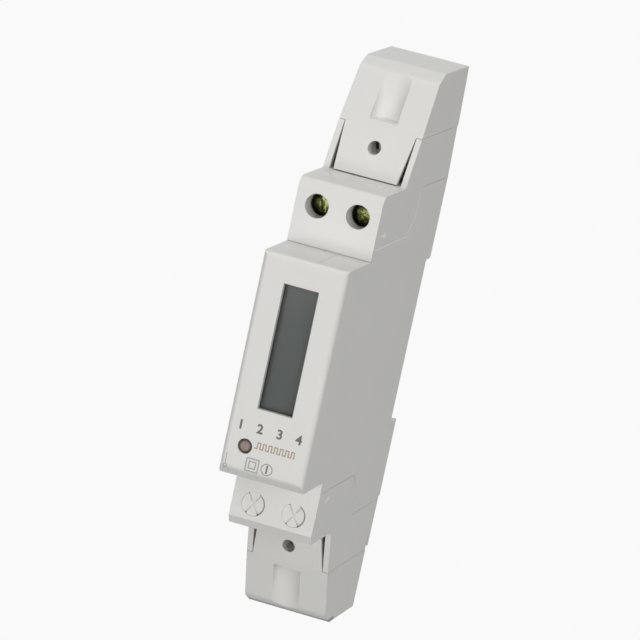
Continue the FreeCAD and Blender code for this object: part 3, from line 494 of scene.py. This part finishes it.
def upper_marks(finish, x, y, z):
    """Side pips, raised and with a painted highlight, the painted highlight along the seam and the dark nick
    at the foot of the cover's tongue.
    """
    # The pips are raised and painted paler: a painted highlight where they catch the light.
    pip = side_walls(finish, x) & finish.wedge(y, z, ((-41.1, 28.1), (-36.2, 27.2), (-37.8, 28.9)))
    top = finish.beyond(z, SHOULDER_TOP - 0.2)
    nick = top & finish.stroke(x, y, (-3.0, -29.6), (-1.0, -29.2), 0.14, 0.08)
    return pip | seam_highlight(finish, x, y, z), 0.6 * nick, pip * 6.0


def lower_marks(finish, x, y, z):
    """Side pips, raised and with a painted highlight, and on the break-out discs the fine scores and painted
    shade for the open slot at the rim's right side.
    """
    # The pips are raised and painted paler: a painted highlight where they catch the light.
    pip = side_walls(finish, x) & finish.wedge(y, z, ((-39.9, -28.7), (-35.6, -28.2), (-37.2, -26.9)))
    u = x.math("WRAP", x - DISC.x, DISC.x, -DISC.x)
    v = z - DISC.z
    out = u.distance(v)
    beside_cut = abs(u) * math.sin(DISC_CUT_ANGLE) - abs(v) * math.cos(DISC_CUT_ANGLE)
    score = finish.band(beside_cut, 0.0, 0.1, 0.06) & (1.0 - finish.beyond(out, 2.3))
    # Painted shade standing for a thin open slot at the rim's right side.
    slot = finish.band(out, 2.36, 0.14, 0.05) & finish.band(u.bearing(v), 0.0, 1.1, 0.06)
    front = 1.0 - finish.beyond(y, SHOULDER_FRONT + 0.8)
    dark = front & ((0.22 * score) | (0.8 * slot))
    return pip, dark, pip * 6.0 - dark * 6.0


def foot_shade(finish, x, y, z):
    """Painted shade along the front edge of the lower cover's foot, which faces down."""
    foot = 1.0 - finish.beyond(z, COVER_FOOT + 0.85, 0.2)
    return 0.0, 0.8 * foot & (1.0 - finish.beyond(y, -12.0)), 0.0


def new_piece(name, mesh, body):
    """Links a mesh as a piece that rides on a CAD body."""
    piece = bpy.data.objects.new(name, mesh)
    bpy.context.scene.collection.objects.link(piece)
    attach(piece, body)
    return piece


def ribbon(points, width, closed):
    """The left and right edge of a line of a given width through points in x and z, mitred at its turns."""
    count = len(points)
    points = [Vector(point) for point in points]
    left, right = [], []
    for i, point in enumerate(points):
        before = points[i - 1] if closed or i else point
        after = points[(i + 1) % count] if closed or i < count - 1 else point
        normals = []
        for run in (point - before, after - point):
            if run.length:
                normals.append(Vector((-run.y, run.x)).normalized())
        reach = (normals[0] + normals[-1]) / (1.0 + normals[0].dot(normals[-1])) * (width / 2)
        left.append(point + reach)
        right.append(point - reach)
    return left, right, closed


def print_lines(name, lines, front):
    """Builds printed lines as thin plates whose face lies at the given depth."""
    build = bmesh.new()
    back = front + INK_THICK
    for left, right, closed in lines:
        count = len(left)
        rings = []
        for loop, y in ((right, front), (left, front), (right, back), (left, back)):
            rings.append([build.verts.new((spot.x, y, spot.y)) for spot in loop])
        for i in range(count if closed else count - 1):
            j = (i + 1) % count
            for a, b in ((0, 1), (3, 2), (2, 0), (1, 3)):
                build.faces.new((rings[a][i], rings[a][j], rings[b][j], rings[b][i]))
        if not closed:
            for i in (0, count - 1):
                build.faces.new((rings[0][i], rings[1][i], rings[3][i], rings[2][i]))
    return closed_mesh(name, build)


def square(centre, side):
    """The corners of a square in x and z, in metres from millimetres."""
    return [((centre[0] + a * side / 2) * MM, (centre[1] + b * side / 2) * MM)
            for a, b in ((-1, -1), (1, -1), (1, 1), (-1, 1))]


def circle(centre, radius, parts=48):
    """Points round a circle in x and z, in metres from millimetres."""
    return [((centre[0] + radius * math.cos(2 * math.pi * i / parts)) * MM,
             (centre[1] + radius * math.sin(2 * math.pi * i / parts)) * MM) for i in range(parts)]


def square_wave(start, low, high, step, count):
    """The corners of a square wave in x and z, in metres from millimetres, with a short lead at each end."""
    points = [(start - step, low)]
    for i in range(count):
        x = start + 2 * step * i
        points += [(x, low), (x, high), (x + step, high), (x + step, low)]
    points.append((points[-1][0] + step / 3, low))
    return [(x * MM, z * MM) for x, z in points]


def numeral(text, centre, size, weight, front):
    """A plain number as a thin plate that faces forwards, centred on a point in x and z."""
    curve = bpy.data.curves.new("numeral", "FONT")
    curve.body = text
    curve.size = size
    curve.align_x = "CENTER"
    curve.align_y = "CENTER"
    curve.resolution_u = 4
    curve.offset = size * weight
    curve.extrude = INK_THICK / 2
    carrier = bpy.data.objects.new("numeral", curve)
    mesh = bpy.data.meshes.new_from_object(carrier)
    bpy.data.objects.remove(carrier)
    bpy.data.curves.remove(curve)
    mesh.transform(FACING @ Matrix.Translation((centre[0] * MM, centre[1] * MM, -front - INK_THICK / 2)))
    return mesh


def turned(build, profile, parts):
    """Turns a profile of radius and height about the Z axis, closed at a radius of zero."""
    rings = []
    for radius, height in profile:
        count = 1 if radius == 0.0 else parts
        rings.append([build.verts.new((radius * math.cos(2 * math.pi * i / parts),
                                       radius * math.sin(2 * math.pi * i / parts), height))
                      for i in range(count)])
    for one, two in zip(rings, rings[1:]):
        for i in range(parts):
            j = (i + 1) % parts
            ends = (one[i % len(one)], one[j % len(one)], two[j % len(two)], two[i % len(two)])
            corners = list(dict.fromkeys(ends))
            if len(corners) > 2:
                build.faces.new(corners)


def add_block(build, size, place):
    """Adds a block of a given size round the origin, moved by a matrix."""
    corners = [build.verts.new(place @ Vector((a * size[0] / 2, b * size[1] / 2, c * size[2] / 2)))
               for a in (-1, 1) for b in (-1, 1) for c in (-1, 1)]
    for side in ((0, 1, 3, 2), (4, 6, 7, 5), (0, 4, 5, 1), (2, 3, 7, 6), (0, 2, 6, 4), (1, 5, 7, 3)):
        build.faces.new([corners[i] for i in side])


def closed_mesh(name, build):
    """Turns the faces of a build outwards and makes a mesh of it."""
    bmesh.ops.recalc_face_normals(build, faces=build.faces)
    mesh = bpy.data.meshes.new(name)
    build.to_mesh(mesh)
    build.free()
    return mesh


def smooth(mesh, angle):
    """Shades a mesh smooth but for the edges that turn by more than an angle in degrees."""
    mesh.shade_smooth()
    mesh.set_sharp_from_angle(angle=math.radians(angle))


def carve(body, tool, edge):
    """Cuts one mesh out of another and softens the edges that are left."""
    holders = [bpy.data.objects.new(mesh.name, mesh) for mesh in (body, tool)]
    for holder in holders:
        bpy.context.scene.collection.objects.link(holder)
    cut = holders[0].modifiers.new("cut", "BOOLEAN")
    cut.object = holders[1]
    cut.operation = "DIFFERENCE"
    cut.solver = "EXACT"
    bevel = holders[0].modifiers.new("edge", "BEVEL")
    bevel.width = edge
    bevel.segments = 2
    bevel.limit_method = "ANGLE"
    bevel.angle_limit = math.radians(40.0)
    graph = bpy.context.evaluated_depsgraph_get()
    result = bpy.data.meshes.new_from_object(holders[0].evaluated_get(graph))
    for holder in holders:
        bpy.data.objects.remove(holder)
    return result


class MeterOperator:
    """What every operator of the dressing shares."""

    bl_options = {"REGISTER", "UNDO"}

    def execute(self, context):
        self.make(context.scene)
        return {"FINISHED"}


class METER_OT_set_camera(MeterOperator, bpy.types.Operator):
    """Puts the camera where the photograph was taken from"""

    bl_idname = "meter.set_camera"
    bl_label = "Set Camera"

    def make(self, scene):
        s = scene.meter_camera
        back = Vector((math.sin(s.azimuth) * math.cos(s.elevation),
                       -math.cos(s.azimuth) * math.cos(s.elevation), math.sin(s.elevation)))
        level = Vector((math.cos(s.azimuth), math.sin(s.azimuth), 0.0))
        rise = back.cross(level)
        right = math.cos(s.roll) * level + math.sin(s.roll) * rise
        up = math.cos(s.roll) * rise - math.sin(s.roll) * level
        data = bpy.data.cameras.new("photo_camera")
        data.sensor_width = 36.0
        data.lens = s.lens
        data.clip_start = 0.05
        data.clip_end = 30.0
        camera = bpy.data.objects.new("photo_camera", data)
        turn = Matrix((right, up, back)).transposed().to_4x4()
        spot = s.distance * back - s.aside[0] * right + s.aside[1] * up
        camera.matrix_world = Matrix.Translation(spot) @ turn
        scene.collection.objects.link(camera)
        scene.camera = camera


class METER_OT_set_studio(MeterOperator, bpy.types.Operator):
    """Makes the pale floor, the even surround and the soft lamps"""

    bl_idname = "meter.set_studio"
    bl_label = "Set Studio"

    def make(self, scene):
        s = scene.meter_studio
        scene.view_settings.view_transform = "Standard"
        self.floor(scene, s)
        self.surround(scene, s)
        for name, spot, power in (("front_lamp", s.front_place, s.front_power),
                                  ("side_lamp", s.side_place, s.side_power),
                                  ("top_lamp", s.top_place, s.top_power)):
            self.lamp(scene, name, Vector(spot), s.lamp_size, power)

    def floor(self, scene, s):
        """A plain floor that is seen white and takes the meter's shadow."""
        mesh = bpy.data.meshes.new("floor")
        build = bmesh.new()
        bmesh.ops.create_grid(build, x_segments=8, y_segments=8, size=s.floor_width / 2)
        build.to_mesh(mesh)
        build.free()
        floor = bpy.data.objects.new("floor", mesh)
        floor.location = (0.0, 0.0, s.floor_height)
        scene.collection.objects.link(floor)
        finish = Finish("pale_floor", Roughness=0.9)
        finish.put("Base Color", (s.floor_shade, s.floor_shade, s.floor_shade, 1.0))
        seen = self.seen(finish)
        white = finish.node("ShaderNodeEmission", None, {"Color": (1.0, 1.0, 1.0, 1.0), "Strength": 1.0})
        plain = Term(finish, finish.shader.outputs[0])
        both = finish.node("ShaderNodeMixShader", None, {0: s.floor_white * seen, 1: plain, 2: white})
        finish.feed(finish.tree.nodes["Material Output"].inputs["Surface"], both)
        dress(floor, finish)

    def seen(self, nodes):
        """1 for rays that the camera, a gloss or a pane sends, 0 for diffuse light."""
        rays = [nodes.node("ShaderNodeLightPath", output=name)
                for name in ("Is Camera Ray", "Is Glossy Ray", "Is Transmission Ray")]
        return rays[0] | rays[1] | rays[2]

    def surround(self, scene, s):
        """Even light from all sides, white where it is seen."""
        world = bpy.data.worlds.new("surround")
        world.use_nodes = True
        scene.world = world
        light = NodeTree(world.node_tree)
        background = world.node_tree.nodes["Background"]
        light.feed(background.inputs["Color"], (1.0, 1.0, 1.0, 1.0))
        light.feed(background.inputs["Strength"], s.surround + (1.0 - s.surround) * self.seen(light))

    def lamp(self, scene, name, spot, size, power):
        """A soft square lamp that faces the rail seat."""
        data = bpy.data.lights.new(name, "AREA")
        data.shape = "SQUARE"
        data.size = size
        data.energy = power
        lamp = bpy.data.objects.new(name, data)
        lamp.location = spot
        lamp.rotation_mode = "QUATERNION"
        lamp.rotation_quaternion = spot.to_track_quat("Z", "Y")
        scene.collection.objects.link(lamp)


class METER_OT_finish_housing(MeterOperator, bpy.types.Operator):
    """Gives the moulded parts their light grey plastic"""

    bl_idname = "meter.finish_housing"
    bl_label = "Finish Housing"

    def make(self, scene):
        s = scene.meter_plastic
        for node, shade, marks in (("main_housing", 1.0, nose_marks), ("rear_base", 0.97, None),
                                   ("upper_terminal_block", 1.0, upper_marks),
                                   ("lower_terminal_block", 1.0, lower_marks),
                                   ("upper_terminal_cover", 0.99, None),
                                   ("lower_terminal_cover", 0.99, foot_shade), ("rail_clip", 0.98, None)):
            dress(NODES[node], moulded_plastic(node + "_plastic", s, shade, marks))


class METER_OT_finish_display(MeterOperator, bpy.types.Operator):
    """Makes the pane clear, the display cell dark and the pulse lamp brown"""

    bl_idname = "meter.finish_display"
    bl_label = "Finish Display"

    def make(self, scene):
        s = scene.meter_display
        dress(NODES["lcd_window"], self.pane())
        dress(NODES["lcd_glass"], self.cell(s))
        dress(NODES["pulse_led"], self.lamp(s))

    def pane(self):
        """Clear acrylic with a trace of haze."""
        finish = Finish("window_pane", IOR=1.49, Alpha=0.2)
        point = finish.place()
        haze = finish.noise(point, 3.0, 3.0, 0.6)
        finish.put("Base Color", finish.tint((0.16, 0.18, 0.17), 0.92 + 0.12 * haze))
        finish.put("Roughness", 0.06 + 0.05 * haze)
        return finish

    def cell(self, s):
        """Dark greenish glass, with painted shade along its left, top and foot under the frame, and a
        lighter band right of its middle.
        """
        finish = Finish("display_cell", IOR=1.5, Specular_IOR_Level=0.3)
        point = finish.place()
        x, _, z = finish.axes(point)
        haze = finish.noise(point, 5.0, 3.0, 0.5)
        # Painted shade where the frame overhangs the cell.
        left = 1.0 - finish.step(x, -3.7, -2.8)
        top = finish.step(z, 16.1, 17.0)
        foot = 1.0 - finish.step(z, -9.5, -6.0)
        shade = (1.0 - 0.38 * left) * (1.0 - 0.45 * top) * (1.0 - 0.30 * foot)
        bright = 1.0 + 0.16 * finish.band(x, 0.9, 1.2, 1.1)
        finish.put("Base Color", finish.tint(s.cell_colour, shade * bright * (0.94 + 0.12 * haze)))
        finish.put("Roughness", 0.30 + 0.08 * haze)
        return finish

    def lamp(self, s):
        """Smoky resin with a darker rim and a painted highlight for the glint of its lens."""
        finish = Finish("lamp_resin", IOR=1.5, Coat_Weight=0.4)
        point = finish.place()
        x, _, z = finish.axes(point)
        cloud = finish.noise(point, 0.8, 2.0, 0.5)
        rim = finish.step((x - LAMP.x).distance(z - LAMP.z), 0.95, 1.45)
        # A painted highlight for the glint on the lens.
        painted_glint = finish.dot(x, z, (LAMP.x + 0.38, LAMP.z + 0.1), 0.14, 0.1)
        shade = (0.9 + 0.25 * cloud) * (1.0 - 0.45 * rim) * (1.0 + 0.7 * painted_glint)
        finish.put("Base Color", finish.tint(s.lamp_colour, shade))
        finish.put("Roughness", 0.22 + 0.1 * cloud)
        return finish


class METER_OT_fit_screws(MeterOperator, bpy.types.Operator):
    """Makes the four terminal screws with rounded slotted heads and cut threads"""

    bl_idname = "meter.fit_screws"
    bl_label = "Fit Screws"

    def make(self, scene):
        s = scene.meter_screws
        finish = self.brass(scene.meter_metal)
        for node, turn in (("line_in_screw", 8.0), ("neutral_in_screw", 72.0),
                           ("line_out_screw", 35.0), ("neutral_out_screw", 80.0)):
            low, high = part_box(node)
            mesh = self.screw(s, high.y - low.y)
            spot = Vector(((low.x + high.x) / 2, low.y, (low.z + high.z) / 2))
            mesh.transform(Matrix.Translation(spot) @ Matrix.Rotation(math.radians(turn), 4, "Y") @ FACING)
            piece = new_piece(node.replace("screw", "slotted_screw"), mesh, "housing")
            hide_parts(node)
            dress(piece, finish)

    def screw(self, s, length):
        """One screw: its axis is Z, the top of its head lies at zero and its tip points down."""
        build = bmesh.new()
        build.from_mesh(self.head(s))
        # The shank starts inside the head, so that nothing shows between the two.
        self.thread(build, s, 0.15 * MM - s.head_height, -length)
        mesh = closed_mesh("slotted_screw", build)
        smooth(mesh, 35.0)
        return mesh

    def head(self, s):
        """A rounded head with its slot cut out."""
        crown, rings = s.head_radius - s.rim[0], 12
        profile = [(crown * i / rings, -s.dome * (i / rings) ** 2) for i in range(rings + 1)]
        profile += [(s.head_radius, -s.dome - s.rim[1]), (s.head_radius, -s.head_height),
                    (0.0, -s.head_height)]
        build = bmesh.new()
        turned(build, profile, 64)
        head = closed_mesh("head", build)
        build = bmesh.new()
        add_block(build, (3 * s.head_radius, s.slot_width, 2 * s.slot_depth), Matrix())
        return carve(head, closed_mesh("slot", build), s.edge)

    def thread(self, build, s, start, end):
        """A shank with one helical ridge, closed at both ends."""
        parts, rows_per_turn = 36, 6
        rows = int((start - end) / s.pitch * rows_per_turn)
        rings = []
        for row in range(rows + 1):
            height = start + (end - start) * row / rows
            ring = []
            for i in range(parts):
                phase = ((start - height) / s.pitch + i / parts) % 1.0
                radius = s.shank_radius - s.thread_depth * abs(2.0 * phase - 1.0)
                angle = 2 * math.pi * i / parts
                ring.append(build.verts.new((radius * math.cos(angle), radius * math.sin(angle), height)))
            rings.append(ring)
        for one, two in zip(rings, rings[1:]):
            for i in range(parts):
                j = (i + 1) % parts
                build.faces.new((one[i], one[j], two[j], two[i]))
        build.faces.new(rings[0])
        build.faces.new(rings[-1])

    def brass(self, metal):
        """Greenish passivated brass, darker where the film is thick, with fine scratches."""
        finish = Finish("passivated_brass", Metallic=0.75)
        point = finish.place()
        film = finish.noise(point, 1.1, 4.0, 0.62)
        scratch = finish.noise(point, 0.12, 3.0, 0.7)
        patch = finish.step(film, 0.44, 0.56)
        bare = tuple(metal.brass) + (1.0,)
        filmed = tuple(0.22 * c for c in metal.brass) + (1.0,)
        finish.put("Base Color", finish.mix(patch, filmed, bare))
        finish.put("Roughness", 0.20 + 0.10 * scratch + 0.08 * film)
        finish.put("Normal", finish.bump(0.6 * scratch + film, 0.05 * MM))
        return finish


class METER_OT_fold_spring(MeterOperator, bpy.types.Operator):
    """Makes the zigzag spring of flat wire, which the clip squeezes when it is pulled; here it is built at
    rest and rides on the housing
    """

    bl_idname = "meter.fold_spring"
    bl_label = "Fold Spring"

    def make(self, scene):
        s = scene.meter_spring
        low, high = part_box("clip_spring")
        pitch = (high.z - low.z - s.wire) / (s.legs - 1)
        reach = high.x - (pitch + s.wire) / 2
        path, bend_parts = [], 12
        for leg in range(s.legs):
            level = low.z + s.wire / 2 + leg * pitch
            side = -1.0 if leg % 2 else 1.0
            path += [Vector((-side * reach, 0.0, level)), Vector((side * reach, 0.0, level))]
            if leg < s.legs - 1:
                for i in range(1, bend_parts):
                    turn = math.pi * i / bend_parts
                    path.append(Vector((side * (reach + pitch / 2 * math.sin(turn)), 0.0,
                                        level + pitch / 2 * (1.0 - math.cos(turn)))))
        mesh = self.sweep(path, s.wire / 2, low.y, high.y)
        piece = new_piece("zigzag_spring", mesh, "housing")
        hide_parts("clip_spring")
        dress(piece, self.steel())
        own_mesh(piece)

    def sweep(self, path, half, front, back):
        """Carries the rounded section of a flat wire along a path in x and z."""
        edge = 0.3 * half
        section = [(-half + edge, front), (half - edge, front), (half, front + edge), (half, back - edge),
                   (half - edge, back), (-half + edge, back), (-half, back - edge), (-half, front + edge)]
        build = bmesh.new()
        rings = []
        for i, point in enumerate(path):
            run = (path[min(i + 1, len(path) - 1)] - path[max(i - 1, 0)]).normalized()
            across = Vector((-run.z, 0.0, run.x))
            rings.append([build.verts.new((point.x + across.x * a, y, point.z + across.z * a))
                          for a, y in section])
        for one, two in zip(rings, rings[1:]):
            for i in range(len(section)):
                j = (i + 1) % len(section)
                build.faces.new((one[i], one[j], two[j], two[i]))
        build.faces.new(rings[0])
        build.faces.new(rings[-1])
        mesh = closed_mesh("zigzag_spring", build)
        smooth(mesh, 40.0)
        return mesh

    def steel(self):
        """Bright drawn wire."""
        finish = Finish("spring_steel", Metallic=1.0)
        point = finish.place()
        drawn = finish.noise(point, 0.25, 3.0, 0.6)
        finish.put("Base Color", finish.tint((0.52, 0.52, 0.53), 0.85 + 0.3 * drawn))
        finish.put("Roughness", 0.24 + 0.14 * drawn)
        return finish


class METER_OT_add_webs(MeterOperator, bpy.types.Operator):
    """Closes the cuts of the break-out discs with the thin webs that hold their wedges"""

    bl_idname = "meter.add_webs"
    bl_label = "Add Disc Webs"

    def make(self, scene):
        inner, outer, thick, wide = 0.92, 2.28, 0.28, 0.24
        depth = SHOULDER_FRONT + DISC_SET + 0.15 + thick / 2
        build = bmesh.new()
        cut = DISC_CUT_ANGLE
        for middle in (-DISC.x, DISC.x):
            for angle in (cut, math.pi - cut, math.pi + cut, -cut):
                place = (Matrix.Translation(Vector((middle, depth, DISC.z)) * MM)
                         @ Matrix.Rotation(-angle, 4, "Y")
                         @ Matrix.Translation(((inner + outer) / 2 * MM, 0.0, 0.0)))
                add_block(build, ((outer - inner) * MM, thick * MM, wide * MM), place)
        piece = new_piece("disc_webs", closed_mesh("disc_webs", build), "housing")
        dress(piece, moulded_plastic("disc_webs_plastic", scene.meter_plastic, 0.95))


class METER_OT_add_pips(MeterOperator, bpy.types.Operator):
    """Adds the low pips on top of the upper shoulder, two round and two three-cornered"""

    bl_idname = "meter.add_pips"
    bl_label = "Add Shoulder Pips"

    def make(self, scene):
        radius, height, sunk, rings = 0.85 * MM, 0.34 * MM, 0.02 * MM, 8
        slopes = [math.pi / 2 * i / rings for i in range(rings + 1)]
        profile = [(radius * math.sin(slope), height * math.cos(slope) - sunk) for slope in slopes]
        profile.append((0.0, -sunk))
        build = bmesh.new()
        for x, y, parts in ((-6.3, -35.2, 3), (-4.7, -34.2, 40), (3.3, -35.5, 3), (5.1, -34.6, 40)):
            before = len(build.verts)
            turned(build, profile, parts)
            build.verts.ensure_lookup_table()
            for corner in build.verts[before:]:
                corner.co += Vector((x, y, SHOULDER_TOP)) * MM
        mesh = closed_mesh("shoulder_pips", build)
        smooth(mesh, 40.0)
        piece = new_piece("shoulder_pips", mesh, "housing")
        dress(piece, moulded_plastic("shoulder_pips_plastic", scene.meter_plastic))


class METER_OT_finish_metal(MeterOperator, bpy.types.Operator):
    """Gives clamps, strips and pins their metals"""

    bl_idname = "meter.finish_metal"
    bl_label = "Finish Metal"

    def make(self, scene):
        s = scene.meter_metal
        drawn = self.metal("clamp_brass", s.brass, 0.38, 1.5)
        copper = self.metal("rolled_copper", s.copper, 0.35, 2.5)
        tin = self.metal("tinned_wire", (0.70, 0.70, 0.71), 0.35, 0.4)
        for name in ("line_in", "neutral_in", "line_out", "neutral_out"):
            dress(NODES[name + "_clamp"], drawn)
        for node, finish in (("current_shunt", copper), ("neutral_bar", copper), ("shunt_taps", tin)):
            dress(NODES[node], finish)

    def metal(self, name, colour, roughness, size):
        """Stained and scratched metal, whose stains and scratches follow a size in millimetres."""
        finish = Finish(name, Metallic=0.9)
        point = finish.place()
        stain = finish.noise(point, size * 2.2, 4.0, 0.6)
        scratch = finish.noise(point, size * 0.3, 3.0, 0.7)
        finish.put("Base Color", finish.tint(colour, 0.78 + 0.42 * stain))
        finish.put("Roughness", roughness - 0.06 + 0.2 * scratch)
        finish.put("Normal", finish.bump(scratch, 0.02 * MM))
        return finish


class METER_OT_finish_boards(MeterOperator, bpy.types.Operator):
    """Gives the circuit boards and the parts on them their finishes"""

    bl_idname = "meter.finish_boards"
    bl_label = "Finish Boards"

    def make(self, scene):
        for node in ("main_board", "display_board"):
            dress(NODES[node], self.laminate(node + "_laminate"))
        for node, colour, roughness, metallic in (
                ("board_header", (0.025, 0.025, 0.027), 0.45, 0.0),
                ("metering_chip", (0.03, 0.03, 0.03), 0.5, 0.0),
                ("microcontroller", (0.03, 0.03, 0.03), 0.5, 0.0),
                ("supply_capacitor", (0.55, 0.10, 0.06), 0.4, 0.0),
                ("varistor", (0.07, 0.16, 0.42), 0.35, 0.0),
                ("smoothing_capacitor", (0.10, 0.11, 0.20), 0.3, 0.0),
                ("crystal", (0.72, 0.72, 0.73), 0.25, 0.9)):
            dress(NODES[node], self.component(node + "_finish", colour, roughness, metallic))

    def laminate(self, name):
        """Green resist over copper tracks, with the weave of the glass cloth."""
        finish = Finish(name, IOR=1.5)
        point = finish.place()
        tracks = finish.node("ShaderNodeTexBrick", {"offset": 0.35, "squash": 1.0}, {
            "Vector": point, "Scale": 0.3, "Mortar Size": 0.05, "Mortar Smooth": 0.1,
            "Brick Width": 1.4, "Row Height": 0.35}, "Fac")
        weave = finish.noise(point, 0.5, 2.0, 0.5)
        shade = 0.85 + 0.3 * weave
        finish.put("Base Color", finish.mix(tracks, finish.tint((0.02, 0.14, 0.06), shade),
                                            finish.tint((0.05, 0.26, 0.10), shade)))
        finish.put("Roughness", 0.35 + 0.1 * weave)
        finish.put("Normal", finish.bump(tracks, 0.03 * MM))
        return finish

    def component(self, name, colour, roughness, metallic):
        """The coat or can of one part on a board."""
        finish = Finish(name, Metallic=metallic, IOR=1.5)
        point = finish.place()
        grain = finish.noise(point, 0.4, 3.0, 0.6)
        finish.put("Base Color", finish.tint(colour, 0.88 + 0.24 * grain))
        finish.put("Roughness", roughness - 0.04 + 0.1 * grain)
        finish.put("Normal", finish.bump(grain, 0.015 * MM))
        return finish


class METER_OT_print_marks(MeterOperator, bpy.types.Operator):
    """Prints plain numbers and signs on the face below the display"""

    bl_idname = "meter.print_marks"
    bl_label = "Print Face Marks"

    def make(self, scene):
        s = scene.meter_ink
        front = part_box("main_housing")[0].y - INK_LIFT
        grey, dark, brown = (self.ink(name, colour) for name, colour in (
            ("grey_ink", s.grey), ("dark_ink", s.dark), ("brown_ink", s.brown)))
        thin = 0.6 * s.line
        stick = [(-7.82 * MM, -18.7 * MM), (-7.75 * MM, -20.95 * MM)]
        wave = square_wave(-1.9, -16.3, -15.1, 0.6, 7)
        for name, lines, finish in (
                ("double_square_mark", [ribbon(square((-2.2, -19.9), side), s.line, True)
                                        for side in (2.6, 1.4)], grey),
                ("ring_mark", [ribbon(circle((0.95, -20.0), 1.15), s.line, True)], grey),
                ("stick_mark", [ribbon(stick, thin, False),
                                ribbon(circle((-7.73, -21.35), 0.38), thin, True)], grey),
                ("pulse_mark", [ribbon(wave, 0.9 * s.line, False)], brown)):
            mesh = print_lines(name, lines, front)
            dress(new_piece(name, mesh, "housing"), finish)
        numbers = [("ring_number", "1", (0.95, -20.05), 2.3)]
        for i, x in enumerate((-6.2, -2.1, 2.1, 6.2)):
            numbers.append(("terminal_number_%d" % (i + 1), str(i + 1), (x, -12.4), 2.7))
        for name, text, centre, size in numbers:
            mesh = numeral(text, centre, size * MM, s.weight, front)
            mesh.name = name
            dress(new_piece(name, mesh, "housing"), dark)

    def ink(self, name, colour):
        """Pad-printed ink, a little thin in places."""
        finish = Finish(name)
        point = finish.place()
        patch = finish.noise(point, 0.25, 2.0, 0.5)
        finish.put("Base Color", finish.tint(colour, 0.85 + 0.4 * patch))
        finish.put("Roughness", 0.5 + 0.15 * patch)
        return finish


OPERATORS = (
    METER_OT_set_camera,
    METER_OT_set_studio,
    METER_OT_finish_housing,
    METER_OT_finish_display,
    METER_OT_fit_screws,
    METER_OT_fold_spring,
    METER_OT_add_webs,
    METER_OT_add_pips,
    METER_OT_finish_metal,
    METER_OT_finish_boards,
    METER_OT_print_marks,
)


class METER_PT_dressing(bpy.types.Panel):
    """Lists the steps and the values of the meter's dressing"""

    bl_label = "Rail Meter"
    bl_idname = "METER_PT_dressing"
    bl_space_type = "VIEW_3D"
    bl_region_type = "UI"
    bl_category = "Rail Meter"

    def draw(self, context):
        layout = self.layout
        for operator in OPERATORS:
            layout.operator(operator.bl_idname)
        for name in SETTINGS:
            box = layout.box()
            group = getattr(context.scene, name)
            for key in group.__annotations__:
                box.prop(group, key)


def register():
    for group in SETTINGS.values():
        bpy.utils.register_class(group)
    for name, group in SETTINGS.items():
        setattr(bpy.types.Scene, name, bpy.props.PointerProperty(type=group))
    for item in (*OPERATORS, METER_PT_dressing):
        bpy.utils.register_class(item)


def unregister():
    for item in reversed((*OPERATORS, METER_PT_dressing)):
        bpy.utils.unregister_class(item)
    for name in SETTINGS:
        delattr(bpy.types.Scene, name)
    for group in reversed(list(SETTINGS.values())):
        bpy.utils.unregister_class(group)


def main():
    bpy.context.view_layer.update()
    register()
    for operator in OPERATORS:
        family, name = operator.bl_idname.split(".")
        getattr(getattr(bpy.ops, family), name)()


if __name__ == "__main__":
    main()
